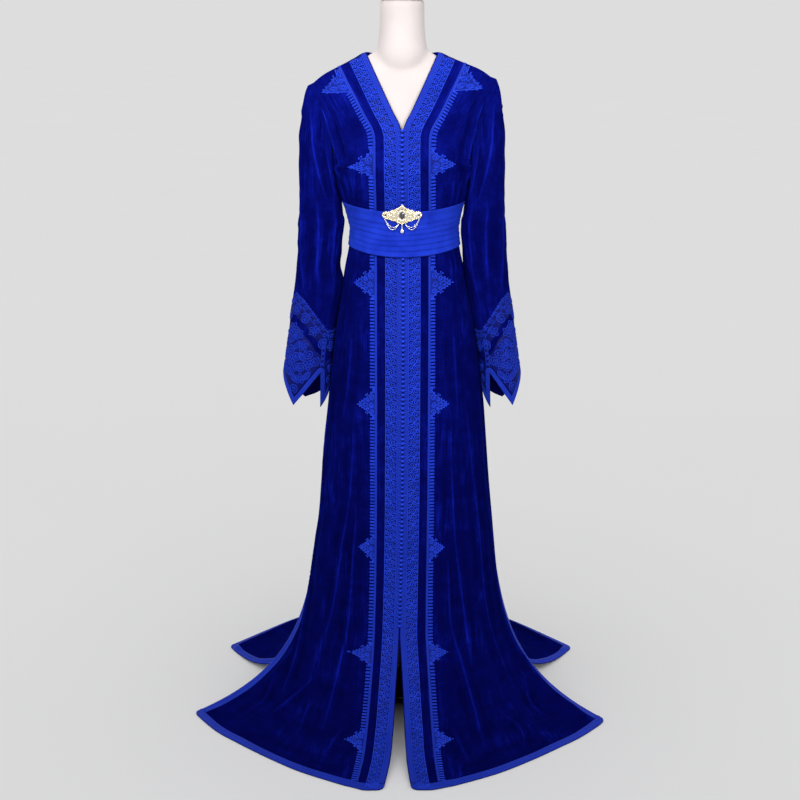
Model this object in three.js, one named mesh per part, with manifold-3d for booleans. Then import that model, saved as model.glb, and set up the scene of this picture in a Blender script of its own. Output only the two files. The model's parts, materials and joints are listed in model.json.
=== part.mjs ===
// A front-opening velvet kaftan with a waist sash and brooch, worn by a limbless dress form.
// Millimetres, +Z up, the front faces -Y, the wearer's left is +X, the floor is z = 0.
import * as THREE from 'three';

const CLOTH = 2; // wall of the velvet panels and sleeves
const GAP = 0.3; // air between neighbouring pieces
const TRIM = 1.5; // thickness of braid and lace strips
const HALF_GAP = 0.2; // each piece keeps this far from a shared seam plane
const UNDERARM_Z = 1235;
const VENT_TOP_Z = 326;
const SLIT_TOP_Z = 218;
const NECK_HALF = 78; // neck side point of the shoulder line
const SHOULDER_TOP = 1519; // height where the sloping shoulder lines would meet
const SHOULDER_SLOPE = 0.502;
const LEFT_RAISE = 0.11; // how much less the wearer's left shoulder slopes
const NECK_BACK_DEPTH = 74; // how far the back neckline bows behind the form's neck
const BRAID_D = [0.6, 15.5]; // band edges, measured sideways from the opening edge
const LACE_D = [16, 41];
const OUTER_D = [60, 70];
const MOTIF_D = 108;
const HEM_BRAID = 20;
const HEM_T = 0.972; // where the hem braid starts along the flare

// Skirt and bodice rings: height, half width, front depth, back depth, shift to the left
const RINGS = [
  { z: 1235, a: 160, front: 122, back: 98, shift: 0 },
  { z: 1190, a: 148, front: 114, back: 94, shift: 2 },
  { z: 1140, a: 128, front: 102, back: 88, shift: 4 },
  { z: 1100, a: 119, front: 97, back: 84, shift: 5 },
  { z: 1060, a: 123, front: 98, back: 88, shift: 5 },
  { z: 1010, a: 133, front: 104, back: 100, shift: 5 },
  { z: 960, a: 143, front: 110, back: 112, shift: 6 },
  { z: 900, a: 155, front: 118, back: 124, shift: 7 },
  { z: 840, a: 164, front: 124, back: 132, shift: 8 },
  { z: 770, a: 172, front: 130, back: 138, shift: 9 },
  { z: 700, a: 179, front: 136, back: 144, shift: 9 },
  { z: 625, a: 185, front: 142, back: 150, shift: 9 },
  { z: 550, a: 191, front: 148, back: 157, shift: 9 },
  { z: 477, a: 197, front: 154, back: 165, shift: 9 },
  { z: 402, a: 205, front: 162, back: 174, shift: 8 },
  { z: 326, a: 214, front: 172, back: 186, shift: 6 },
];

// Armhole edge and shoulder width against depth v, 0 at the shoulder and 1 at the underarm
const ARMHOLE = [
  { v: 0, x: 205, wide: 205 },
  { v: 0.28, x: 180, wide: 191 },
  { v: 0.55, x: 162, wide: 180 },
  { v: 0.84, x: 151, wide: 166.5 },
  { v: 0.95, x: 152, wide: 162 },
  { v: 1, x: 160, wide: 160 },
];

// Rows of the yoke zone, shared by the panels and the sleeve seam
const YOKE_V = [0, 0.06, 0.2, 0.36, 0.52, 0.674, 0.84, 0.95, 1];

// Rows of the body zone
const FRONT_Z = [1217, 1190, 1160, 1130, 1100, 1060, 1025, 996, 967, 930, 885, 840, 795, 751, 722,
  693, 645, 595, 545, 500, 460, 422, 393, 364, 326];
const BACK_Z = [1190, 1140, 1100, 1060, 1010, 960, 900, 840, 770, 700, 625, 550, 477, 402, 326];
const VENT_NEAR = [205, -10, 50]; // guides of the back vent edges, on the left side
const VENT_FAR = [315, -75, CLOTH];
const FLARE_T = [0.16, 0.27, 0.36, 0.46, 0.58, 0.7, 0.8, 0.9, HEM_T, 1];

// Pointed motifs of the outer band: first, tip and last row of the front panel's grid
const MOTIF_ROWS = [[6, 7, 9], [15, 16, 17], [22, 23, 24], [30, 31, 32], [35, 36, 37], [39, 40, 41]];
const MOTIF_COLUMN = 4; // panel column at the band's outer edge, where motifs start
const SHOULDER_MOTIF = [1, 2]; // row of the flat lower edge and of the tip

// Columns of a front panel: sideways distances, then shares of the rest of the way to the side
const FRONT_D = [0, 15.5, 41, 60, 70, 108];
const FRONT_SHARE = [0.2, 0.4, 0.6, 0.78, 0.91, 1];
const BACK_SHARE = [0, 0.127, 0.254, 0.38, 0.53, 0.68, 0.82, 0.94, 1];

// Hem corners and edges on the floor, from the slit to the vent, wearer's right then left
const HEM_FRONT = {
  '-1': [[-45, -532], [-83, -533], [-132, -509], [-191, -477], [-240, -444], [-322, -376],
    [-396, -306], [-448, -251], [-479, -194]],
  1: [[27, -532], [71, -531], [124, -509], [187, -477], [240, -444], [324, -376], [403, -306],
    [444, -269], [464, -228]],
};
const HEM_BACK = {
  '-1': [[0, 452], [-105, 438], [-200, 390], [-282, 327], [-357, 240], [-409, 192], [-439, 158]],
  1: [[0, 452], [105, 438], [200, 390], [285, 320], [357, 244], [404, 192], [432, 150]],
};

// Long folds of the skirt: angle from the panel middle, spread in degrees, height in mm
const FRONT_FOLDS = [
  { at: 38, spread: 8, high: 5 },
  { at: 56, spread: 8, high: 9 },
  { at: 74, spread: 7, high: 6 },
];
const BACK_FOLDS = [
  { at: 9, spread: 7, high: 6 },
  { at: 29, spread: 8, high: 8 },
  { at: 50, spread: 8, high: 9 },
  { at: 70, spread: 8, high: 6 },
];

const add = (p, q) => [p[0] + q[0], p[1] + q[1], p[2] + q[2]];
const sub = (p, q) => [p[0] - q[0], p[1] - q[1], p[2] - q[2]];
const mul = (p, k) => [p[0] * k, p[1] * k, p[2] * k];
const cross = (p, q) => [p[1] * q[2] - p[2] * q[1], p[2] * q[0] - p[0] * q[2], p[0] * q[1] - p[1] * q[0]];
const length = (p) => Math.hypot(p[0], p[1], p[2]);
const unit = (p) => mul(p, 1 / (length(p) || 1));
const mix = (a, b, t) => a + (b - a) * t;
const mixPoint = (p, q, t) => p.map((value, i) => mix(value, q[i], t));
const rad = (degrees) => (degrees * Math.PI) / 180;

// Linear look-up of one column in a table sorted by its key
function look(table, key, at, name) {
  const down = table[0][key] > table[table.length - 1][key];
  let i = 1;
  while (i < table.length - 1 && (down ? table[i][key] > at : table[i][key] < at)) i += 1;
  const [low, high] = [table[i - 1], table[i]];
  const t = Math.min(1, Math.max(0, (at - low[key]) / (high[key] - low[key])));
  return mix(low[name], high[name], t);
}

// A point at a share of the length of a polyline, or at a distance when the share is null
function along(line, share, distance) {
  const steps = line.slice(1).map((p, i) => Math.hypot(...p.map((value, k) => value - line[i][k])));
  const total = steps.reduce((sum, step) => sum + step, 0);
  let left = share === null ? distance : share * total;
  for (let i = 0; i < steps.length; i += 1) {
    if (left <= steps[i] || i === steps.length - 1) return mixPoint(line[i], line[i + 1], left / steps[i]);
    left -= steps[i];
  }
  return line[line.length - 1];
}

// Half width of the garment on one side
function sideWidth(z, side) {
  return look(RINGS, 'z', z, 'a') + side * look(RINGS, 'z', z, 'shift');
}

// How far the opening edge stands from the middle at yoke depth v
function neckEdge(v) {
  return Math.max(HALF_GAP, (198.1 - 284 * v) / (2.542 - 0.502 * v));
}

// A point of the yoke: x from the middle, v down to the underarm, face -1 front or 1 back
function yokePoint(x, v, side, face) {
  const wide = look(ARMHOLE, 'v', v, 'wide');
  const neckDrop = face > 0 && x < NECK_HALF ? 14 * (1 - (x / NECK_HALF) ** 2) : 0;
  const raised = side > 0 ? LEFT_RAISE * Math.max(0, x - NECK_HALF) : 0;
  const top = SHOULDER_TOP - SHOULDER_SLOPE * Math.max(x, face > 0 ? NECK_HALF : 0) - neckDrop + raised;
  const ring = RINGS[0];
  const round = Math.sqrt(Math.max(0, 1 - (x / wide) ** 2));
  let y = (face < 0 ? ring.front : ring.back) * round * Math.sin(v * Math.PI * 0.5) ** 0.8;
  if (face > 0 && x < NECK_HALF) {
    y += NECK_BACK_DEPTH * Math.sqrt(1 - (x / NECK_HALF) ** 2) * (1 - v) ** 1.7;
  }
  return [side * x, face * (y + HALF_GAP), mix(top, UNDERARM_Z, v)];
}

// How far the folds push the cloth out at an angle from the panel middle
function foldHeight(folds, degrees, z) {
  const grow = Math.min(1, Math.max(0, (1010 - z) / 600));
  return folds.reduce((sum, f) => sum + f.high * grow * Math.exp(-(((degrees - f.at) / f.spread) ** 2)), 0);
}

// A point of the body zone at angle s = sin(theta)
function bodyPoint(s, z, side, face) {
  const a = sideWidth(z, side);
  const deep = look(RINGS, 'z', z, face < 0 ? 'front' : 'back');
  const round = Math.sqrt(Math.max(0, 1 - s * s));
  const high = foldHeight(face < 0 ? FRONT_FOLDS : BACK_FOLDS, (Math.asin(s) * 180) / Math.PI, z);
  const out = unit([s * deep, round * a, 0]);
  return [side * (a * s + high * out[0]), face * (deep * round + high * out[1] + HALF_GAP), z];
}

// A point of a curve with four control points
function curvePoint(p0, p1, p2, p3, t) {
  const w = [(1 - t) ** 3, 3 * t * (1 - t) ** 2, 3 * t * t * (1 - t), t ** 3];
  return [0, 1, 2].map((i) => w[0] * p0[i] + w[1] * p1[i] + w[2] * p2[i] + w[3] * p3[i]);
}

// Control points part of the way from the lowest body ring out to the hem
function flareGuides(knee, hem, near, high, far, low) {
  const flat = [hem[0] - knee[0], hem[1] - knee[1]];
  return [[knee[0] + flat[0] * near, knee[1] + flat[1] * near, high],
    [knee[0] + flat[0] * far, knee[1] + flat[1] * far, low]];
}

// A point of the front flare, from the lowest body ring down to the hem on the floor
function frontFlare(knee, hem, t, ripple) {
  const [p1, p2] = flareGuides(knee, hem, 0.1, 135, 0.29, 26 + ripple);
  return curvePoint(knee, p1, p2, [hem[0], hem[1], CLOTH], t);
}

// A point of the back flare, whose side edges swing forward under the front before they reach the floor
function backFlare(knee, hem, t, ripple) {
  const side = Math.sign(hem[0]);
  const guides = flareGuides(knee, hem, 0.02, 145, 0.3, 28 + ripple);
  const edge = [VENT_NEAR, VENT_FAR].map(([x, y, z]) => [side * x, y, z]);
  const w = Math.min(1, Math.abs(hem[0]) / 436) ** 4;
  const [p1, p2] = guides.map((p, k) => p.map((c, i) => mix(c, edge[k][i], w)));
  return curvePoint(knee, p1, p2, [hem[0], hem[1], CLOTH], t);
}

// Outer points of one front panel, rows down and columns from the opening to the side
function frontGrid(side) {
  const rows = YOKE_V.map((v) => {
    const edge = neckEdge(v);
    const end = look(ARMHOLE, 'v', v, 'x');
    const fixed = FRONT_D.map((d) => edge + d);
    if (v === 1) return bodyRow(UNDERARM_Z, side);
    const last = fixed[fixed.length - 1];
    const xs = fixed.concat(FRONT_SHARE.map((share) => mix(last, end, share)));
    return xs.map((x) => yokePoint(x, v, side, -1));
  });
  FRONT_Z.forEach((z) => rows.push(bodyRow(z, side)));
  const knee = rows[rows.length - 1];
  const line = HEM_FRONT[side];
  const rest = remainder(line, MOTIF_D);
  const hems = FRONT_D.map((d) => along(line, null, d));
  hems.push(...FRONT_SHARE.map((share) => along(rest, share)));
  FLARE_T.forEach((t) => {
    const row = knee.map((p, i) => frontFlare(p, hems[i], t, 5 * Math.sin(i * 1.9 + side)));
    ventColumn(row, row.length - 1, row.length - 2);
    rows.push(row);
  });
  return rows;
}

// The part of a floor line beyond a distance
function remainder(line, distance) {
  const start = along(line, null, distance);
  const total = (points) => points.slice(1).reduce((sum, p, i) => sum + Math.hypot(p[0] - points[i][0],
    p[1] - points[i][1]), 0);
  const kept = line.filter((p, i) => total(line.slice(0, i + 1)) > distance + 1);
  return [start, ...kept];
}

// One row of a front panel in the body zone
function bodyRow(z, side) {
  const a = sideWidth(z, side);
  const fixed = FRONT_D.map((d) => Math.min(HALF_GAP + d, a * (0.62 + d * 0.0018)) / a);
  const from = Math.asin(fixed[fixed.length - 1]);
  const sines = fixed.concat(FRONT_SHARE.map((share) => Math.sin(mix(from, Math.PI / 2, share))));
  return sines.map((s) => bodyPoint(s, z, side, -1));
}

// Outer points of the back panel, columns from the wearer's right to the left
function backGrid() {
  const half = (side, place) => BACK_SHARE.map((share) => place(share, side));
  const full = (place) => [...half(-1, place).reverse(), ...half(1, place).slice(1)];
  const rows = YOKE_V.map((v) => full((share, side) => {
    if (v === 1) return bodyPoint(share, UNDERARM_Z, side, 1);
    return yokePoint(share * look(ARMHOLE, 'v', v, 'x'), v, side, 1);
  }));
  BACK_Z.forEach((z) => rows.push(full((share, side) => bodyPoint(share, z, side, 1))));
  const knee = rows[rows.length - 1];
  const hems = full((share, side) => along(HEM_BACK[side], (Math.asin(share) * 2) / Math.PI));
  FLARE_T.forEach((t) => {
    const row = knee.map((p, i) => backFlare(p, hems[i], t, 5 * Math.sin(i * 1.7)));
    ventColumn(row, 0, 1);
    ventColumn(row, row.length - 1, row.length - 2);
    rows.push(row);
  });
  return rows;
}

// Unit normals of a grid by its neighbours, turned to face away from the cloth's inside
function gridNormals(grid, wrap, flip) {
  return grid.map((row, r) => row.map((p, c) => {
    const n = row.length;
    const above = grid[Math.max(0, r - 1)][c];
    const below = grid[Math.min(grid.length - 1, r + 1)][c];
    const before = wrap ? row[(c + n - 1) % n] : row[Math.max(0, c - 1)];
    const after = wrap ? row[(c + 1) % n] : row[Math.min(n - 1, c + 1)];
    return mul(unit(cross(sub(after, before), sub(above, below))), flip);
  }));
}

// Drop one component of the normals on chosen points so that seam rims stay in their plane
function squareNormals(normals, axis, chosen) {
  return normals.map((row, r) => row.map((n, c) => {
    if (!chosen(r, c)) return n;
    const flat = n.slice();
    flat[axis] = 0;
    return unit(flat);
  }));
}

// A closed solid from a grid: every kept cell between two offsets of its points
function shell(grid, normals, low, high, options = {}) {
  const { wrap = false, keep = () => true, turn = () => false, flip = 1 } = options;
  const index = new Map();
  const positions = [];
  const layer = (r, c, k) => {
    const key = `${r},${c},${k}`;
    if (!index.has(key)) {
      const offset = k ? high : low;
      const at = add(grid[r][c], mul(normals[r][c], typeof offset === 'function' ? offset(r, c) : offset));
      index.set(key, positions.length / 3);
      positions.push(...at);
    }
    return index.get(key);
  };
  const tris = [];
  const edges = new Map();
  const rows = grid.length;
  const cols = grid[0].length;
  const face = (a, b, c) => {
    const order = flip > 0 ? [a, b, c] : [a, c, b];
    tris.push(...order.map(([r, q]) => layer(r, q, 1)));
    tris.push(...order.slice().reverse().map(([r, q]) => layer(r, q, 0)));
    [[0, 1], [1, 2], [2, 0]].forEach(([i, k]) => edges.set(`${order[i]}|${order[k]}`, [order[i], order[k]]));
  };
  for (let r = 0; r < rows - 1; r += 1) {
    for (let c = 0; c < (wrap ? cols : cols - 1); c += 1) {
      const d = (c + 1) % cols;
      if (keep(r, c)) {
        const last = turn(r, c) ? [r, d] : [r + 1, d];
        face([r, c], [r + 1, c], last);
        face(turn(r, c) ? [r + 1, c] : [r, c], [r + 1, d], [r, d]);
      }
    }
  }
  edges.forEach(([a, b]) => {
    if (edges.has(`${b}|${a}`)) return;
    const [a1, b1, a0, b0] = [layer(...a, 1), layer(...b, 1), layer(...a, 0), layer(...b, 0)];
    tris.push(b1, a1, a0, b1, a0, b0);
  });
  return solid(positions, tris);
}

// A geometry from flat lists of coordinates and corner numbers
function solid(positions, tris) {
  const geometry = new THREE.BufferGeometry();
  geometry.setAttribute('position', new THREE.Float32BufferAttribute(positions, 3));
  geometry.setIndex(tris);
  return geometry;
}

// Closed rings joined end to end, with flat ends closed on their middle point
function loft(rings) {
  const n = rings[0].length;
  const positions = rings.flat(2);
  const tris = [];
  for (let r = 0; r < rings.length - 1; r += 1) {
    for (let c = 0; c < n; c += 1) {
      const d = (c + 1) % n;
      tris.push(r * n + c, r * n + d, (r + 1) * n + d, r * n + c, (r + 1) * n + d, (r + 1) * n + c);
    }
  }
  [0, rings.length - 1].forEach((r) => {
    const middle = positions.length / 3;
    positions.push(...mul(rings[r].reduce(add), 1 / n));
    for (let c = 0; c < n; c += 1) {
      const pair = [r * n + ((c + 1) % n), r * n + c];
      tris.push(middle, ...(r ? pair.reverse() : pair));
    }
  });
  return solid(positions, tris);
}

// Bilinear place on a grid by fractional row and column
function onGrid(grid, row, col) {
  const r = Math.min(grid.length - 2, Math.floor(row));
  const c = Math.min(grid[0].length - 2, Math.floor(col));
  const top = mixPoint(grid[r][c], grid[r][c + 1], col - c);
  const low = mixPoint(grid[r + 1][c], grid[r + 1][c + 1], col - c);
  return mixPoint(top, low, row - r);
}

// A strip lying on a panel: fractional rows and columns of the panel's own grid
function strip(panel, places, low, high, flip, keep, turn) {
  const points = places.map((row) => row.map(([r, c]) => onGrid(panel.grid, r, c)));
  const normals = places.map((row) => row.map(([r, c]) => unit(onGrid(panel.normals, r, c))));
  return shell(points, normals, low, high, { flip, keep, turn });
}

const LAST_ROW = YOKE_V.length + FRONT_Z.length + FLARE_T.length - 1;
const HEM_ROW = LAST_ROW - 1;
const VENT_ROW = YOKE_V.length + FRONT_Z.length - 1;
const BODY_ROW = YOKE_V.length - 1;

// Fractional column of a sideways distance on a front panel
function columnOf(d) {
  let i = 1;
  while (i < FRONT_D.length - 1 && FRONT_D[i] < d) i += 1;
  return i - 1 + (d - FRONT_D[i - 1]) / (FRONT_D[i] - FRONT_D[i - 1]);
}

// One front panel with its normals squared at the shoulder, side and middle seams
function frontPanel(side) {
  const grid = frontGrid(side);
  let normals = gridNormals(grid, false, side);
  const last = grid[0].length - 1;
  const atSide = (r, c) => c === last && r >= BODY_ROW && r <= VENT_ROW + 2;
  normals = squareNormals(normals, 1, (r, c) => r === 0 || atSide(r, c));
  normals = squareNormals(normals, 0, (r, c) => c === 0 && r >= BODY_ROW - 3 && r <= VENT_ROW + 1);
  return { grid, normals };
}

// The back panel with its normals squared at the shoulder and side seams
function backPanel() {
  const grid = backGrid();
  const ends = [0, grid[0].length - 1];
  const lastSeam = YOKE_V.length + BACK_Z.length + 1;
  let normals = gridNormals(grid, false, -1);
  const neck = (c) => Math.abs(grid[0][c][0]) < NECK_HALF - 1;
  normals = squareNormals(normals, 1, (r, c) => (r === 0 && !neck(c))
    || (ends.includes(c) && r >= BODY_ROW && r <= lastSeam));
  return { grid, normals };
}

// Rows of a strip from the shoulder down to the hem braid
function bandRows() {
  const rows = [];
  for (let r = 0; r < HEM_ROW; r += 1) rows.push(r);
  return [...rows, HEM_ROW - 0.02];
}

// A straight band between two sideways distances
function band(panel, side, [from, to]) {
  const places = bandRows().map((r) => [[r, columnOf(from)], [r, columnOf(to)]]);
  return strip(panel, places, GAP, GAP + TRIM, side);
}

// Whether a row of cells lies in the lower half of a motif, where the cells split the other way
function belowTip(r) {
  return MOTIF_ROWS.some(([, tip, end]) => r >= tip && r < end);
}

// Outer band with its pointed motifs, the third column only kept where a motif is
function motifBand(panel, side) {
  const wide = new Map();
  MOTIF_ROWS.forEach(([start, tip, end]) => {
    for (let r = start; r <= end; r += 1) {
      const share = r <= tip ? (r - start) / (tip - start) : (end - r) / (end - tip);
      wide.set(r, share);
    }
  });
  wide.set(SHOULDER_MOTIF[0], 0.12);
  wide.set(SHOULDER_MOTIF[1], 1);
  const rows = bandRows();
  const places = rows.map((r) => {
    const reach = mix(OUTER_D[1], MOTIF_D, Math.max(0.04, wide.get(Math.round(r)) || 0));
    return [[r, columnOf(OUTER_D[0])], [r, columnOf(OUTER_D[1])], [r, columnOf(reach)]];
  });
  const has = (r) => (wide.get(r) || 0) > 0.05 || (wide.get(r + 1) || 0) > 0.05;
  const keep = (r, c) => c === 0 || (has(r) && r !== SHOULDER_MOTIF[1]);
  const turn = (r, c) => c === 1 && belowTip(r);
  return strip(panel, places, GAP + 0.1, GAP + 0.1 + TRIM, side, keep, turn);
}

// Hem braid that turns up the vent edges as one piece
function hemBraid(panel, vents, flip, seamRow) {
  const cols = panel.grid[0].length;
  const places = panel.grid.slice(seamRow).map((row, r) => row.map((p, c) => [seamRow + r, c]));
  const keep = (r, c) => r === places.length - 2
    || (vents.includes('end') && c === cols - 2) || (vents.includes('start') && c === 0);
  return strip(panel, places, GAP, GAP + TRIM, flip, keep);
}

// Set the column beside a free vent edge one braid width in from it
function ventColumn(row, edge, inner) {
  row[inner] = add(row[edge], mul(unit(sub(row[inner], row[edge])), HEM_BRAID));
}

// Braid along the back neckline between the two front edge braids
function neckBraid(panel) {
  const places = [0.03, 1].map((r) => {
    const row = [];
    for (let c = 5; c <= 11; c += 1) row.push([r, c === 5 ? 5.06 : c === 11 ? 10.94 : c]);
    return row;
  });
  return strip(panel, places, GAP + 0.1, GAP + 0.1 + TRIM, -1);
}

// Knot buttons down the middle on a cord, resting on the two edge braids
function buttonRow(panel) {
  const line = panel.grid.map((row) => row[0]);
  const rows = [];
  const pitch = 10;
  const count = Math.floor((1322 - SLIT_TOP_Z) / pitch);
  for (let i = 0; i <= count * 2; i += 1) {
    const z = 1322 - (i * pitch) / 2;
    let k = 1;
    while (line[k][2] > z) k += 1;
    const t = (line[k - 1][2] - z) / (line[k - 1][2] - line[k][2]);
    const y = mix(line[k - 1][1], line[k][1], t) - GAP * 2 - TRIM - 0.1;
    const [half, high] = i % 2 ? [3.2, 3.4] : [1.3, 1.2];
    rows.push([[-half, y, z], [0, y - high, z], [half, y, z]]);
  }
  return loft(rows.map((ring) => ring.slice().reverse()));
}

// Sleeve rings: height, outer and inner reach, half depth and middle in Y
const SLEEVE_RINGS = [
  { z: 1150, outer: 229, inner: 132, deep: 44, y: -2 },
  { z: 1115, outer: 232, inner: 127, deep: 43, y: -3 },
  { z: 1047, outer: 236, inner: 134, deep: 41, y: -5 },
  { z: 979, outer: 241, inner: 141, deep: 40, y: -8 },
  { z: 910, outer: 251, inner: 156, deep: 39, y: -11 },
  { z: 840, outer: 260, inner: 163, deep: 39, y: -14 },
  { z: 770, outer: 271, inner: 165, deep: 39, y: -16 },
  { z: 690, outer: 274, inner: 168, deep: 39, y: -18 },
];

// Sleeve columns: yoke row of the seam, angle of the cuff, top of the embroidery, hem height
const SLEEVE_COLUMNS = [
  { row: 0, face: -1, angle: 0, top: 930, hem: 776 },
  { row: 1, face: -1, angle: 32, top: 955, hem: 738 },
  { row: 2, face: -1, angle: 60, top: 942, hem: 700 },
  { row: 3, face: -1, angle: 82, top: 920, hem: 724 },
  { row: 4, face: -1, angle: 103, top: 897, hem: 751 },
  { row: 5, face: -1, angle: 125, top: 873, hem: 776 },
  { row: 6, face: -1, angle: 133, top: 868, hem: 694 },
  { row: 7, face: -1, angle: 157, top: 866, hem: 716 },
  { row: 8, face: 1, angle: 180, top: 870, hem: 742 },
  { row: 7, face: 1, angle: 203, top: 885, hem: 735 },
  { row: 6, face: 1, angle: 226, top: 905, hem: 720 },
  { row: 5, face: 1, angle: 250, top: 925, hem: 708 },
  { row: 4, face: 1, angle: 274, top: 940, hem: 700 },
  { row: 3, face: 1, angle: 297, top: 940, hem: 716 },
  { row: 2, face: 1, angle: 319, top: 935, hem: 740 },
  { row: 1, face: 1, angle: 340, top: 930, hem: 762 },
];
const CUFF_BRAID = 11;
const CUFF_SHARES = [0, 0.33, 0.66];

// Least reach of the sleeve beside the body, wider beside the sash
function besideBody(z, side) {
  return sideWidth(z, side) + (z > SASH.low - 12 && z < SASH.top + 30 ? 7.5 : 4);
}

// A point of a level sleeve ring, the angle turning from the outer side to the front
function sleeveRingPoint(angle, z, side) {
  const outer = look(SLEEVE_RINGS, 'z', z, 'outer');
  const inner = Math.max(look(SLEEVE_RINGS, 'z', z, 'inner'), besideBody(z, side));
  const deep = look(SLEEVE_RINGS, 'z', z, 'deep');
  const middle = look(SLEEVE_RINGS, 'z', z, 'y');
  const x = (outer + inner) / 2 + ((outer - inner) / 2) * Math.cos(rad(angle));
  return [side * x, middle - deep * Math.sin(rad(angle)), z];
}

// Outer points of a sleeve: the armhole seam, the cap and the arm, then the cuff rows
function sleeve(side, front, back) {
  const seamColumn = { '-1': front.grid[0].length - 1, 1: side < 0 ? 0 : back.grid[0].length - 1 };
  const armhole = SLEEVE_COLUMNS.map(({ row, face }) => {
    const panel = face < 0 ? front : back;
    const at = add(panel.grid[row][seamColumn[face]], [side * (GAP + 0.25), 0, row === 8 ? -GAP : 0]);
    if (row === 0) at[1] = 0;
    if (row === 8) at[1] = 0;
    return at;
  });
  const seamNormals = SLEEVE_COLUMNS.map(({ row, face }) => {
    const panel = face < 0 ? front : back;
    return panel.normals[row][seamColumn[face]];
  });
  const first = SLEEVE_COLUMNS.map(({ angle }) => sleeveRingPoint(angle, 1150, side));
  const cap = [0.22, 0.45, 0.7].map((t) => armhole.map((p, i) => {
    const q = first[i];
    const lean = Math.max(0, Math.cos(rad(SLEEVE_COLUMNS[i].angle)));
    const p1 = add(p, [side * (4 + 8 * lean), 0, -(p[2] - q[2]) * 0.33]);
    const p2 = add(q, [-side * 1.5, 0, (p[2] - q[2]) * 0.4]);
    const w = [(1 - t) ** 3, 3 * t * (1 - t) ** 2, 3 * t * t * (1 - t), t ** 3];
    const at = [0, 1, 2].map((k) => w[0] * p[k] + w[1] * p1[k] + w[2] * p2[k] + w[3] * q[k]);
    const deep = look(RINGS, 'z', at[2], at[1] < 0 ? 'front' : 'back');
    const least = besideBody(at[2], side) * Math.sqrt(1 - (at[1] / deep) ** 2);
    if (at[2] < UNDERARM_Z) at[0] = side * Math.max(side * at[0], least);
    return at;
  }));
  const level = (z) => SLEEVE_COLUMNS.map(({ angle }) => sleeveRingPoint(angle, z, side));
  const arm = [1150, 1100, 1047, 990].map(level);
  const cuff = [...CUFF_SHARES, 'braid', 1].map((share) => SLEEVE_COLUMNS.map(({ angle, top, hem }) => {
    const t = share === 'braid' ? 1 - CUFF_BRAID / (top - hem) : share;
    return sleeveRingPoint(angle, mix(top, hem, t), side);
  }));
  const grid = [armhole, ...cap, ...arm, ...cuff];
  const normals = gridNormals(grid, true, -side);
  normals[0] = seamNormals;
  return { grid, normals };
}

const CUFF_ROW = 8; // first embroidered row of the sleeve grid

// Rows of the cuff zone as a patch, from a share below the top edge to the braid or the hem
function cuffPatch(arm, side, fromRow, toRow, low, high) {
  const points = [];
  const normals = [];
  for (let r = fromRow; r <= toRow; r += 1) {
    const lift = r === fromRow && fromRow > CUFF_ROW ? 0.3 / CUFF_BRAID : 0;
    points.push(arm.grid[r].map((p, c) => mixPoint(p, arm.grid[Math.min(r + 1, toRow)][c], lift)));
    normals.push(arm.normals[r]);
  }
  if (toRow < arm.grid.length - 1) {
    points[points.length - 1] = arm.grid[toRow].map((p, c) => mixPoint(p, arm.grid[toRow - 1][c], 0.16));
  }
  return shell(points, normals, low, high, { wrap: true, flip: -side });
}

// Pleated sash: a closed profile carried round the waist ring
const SASH = { top: 1148, low: 1049, sideLift: 12, clear: 1.2, frontClear: 6.5, pleats: 7, columns: 32 };
function sash() {
  const rings = [];
  for (let c = 0; c < SASH.columns; c += 1) {
    const angle = (c / SASH.columns) * Math.PI * 2;
    const [s, k] = [Math.sin(angle), -Math.cos(angle)];
    const lift = SASH.sideLift * s * s;
    const place = (z, out) => {
      const ringZ = z + lift;
      const a = sideWidth(ringZ, Math.sign(s) || 1) + SASH.clear + out;
      const face = k < 0 ? 'front' : 'back';
      const extra = k < 0 ? mix(SASH.clear, SASH.frontClear, Math.min(1, k * k * 1.3)) : SASH.clear;
      const b = look(RINGS, 'z', ringZ, face) + extra + out;
      return [a * s, b * k, ringZ];
    };
    const profile = [0, 0.25, 0.5, 0.75, 1].map((t) => place(mix(SASH.low, SASH.top, t), 0));
    for (let i = 0; i <= SASH.pleats * 2; i += 1) {
      const z = mix(SASH.top, SASH.low, i / (SASH.pleats * 2));
      profile.push(place(z, i % 2 ? 3.6 : 1.6));
    }
    rings.push(profile);
  }
  const n = rings[0].length;
  const tris = [];
  rings.forEach((ring, r) => {
    const next = (r + 1) % rings.length;
    for (let c = 0; c < n; c += 1) {
      const d = (c + 1) % n;
      tris.push(r * n + c, r * n + d, next * n + d, r * n + c, next * n + d, next * n + c);
    }
  });
  return solid(rings.flat(2), tris);
}

// Brooch in front of the sash: stations across, lower and upper edge of the plate
const BROOCH = { z: 1143, y: -113.9, lean: 0.16, bow: 0.0035, thick: 3 };
const BROOCH_STATIONS = [
  { x: -43, low: -3, high: 3 }, { x: -36, low: -9, high: 8 }, { x: -28, low: -11, high: 7 },
  { x: -21, low: -13, high: 12 }, { x: -12, low: -17, high: 15 }, { x: -6, low: -19, high: 18 },
  { x: 0, low: -20, high: 24 }, { x: 6, low: -19, high: 18 }, { x: 12, low: -17, high: 15 },
  { x: 21, low: -13, high: 12 }, { x: 28, low: -11, high: 7 }, { x: 36, low: -9, high: 8 },
  { x: 43, low: -3, high: 3 },
];

// Where the back of the plate lies, following the bowed and leaning sash
function broochY(x, z) {
  return BROOCH.y - BROOCH.lean * (z - BROOCH.z) + BROOCH.bow * x * x;
}

// The cast plate between its lower and upper edges
function broochPlate() {
  const grid = [1, 0].map((up) => BROOCH_STATIONS.map(({ x, low, high }) => (
    [x, broochY(x, BROOCH.z + (up ? high : low)), BROOCH.z + (up ? high : low)])));
  const normals = grid.map((row) => row.map(() => [0, -1, 0]));
  return shell(grid, normals, 0, BROOCH.thick, { flip: 1 });
}

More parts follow.
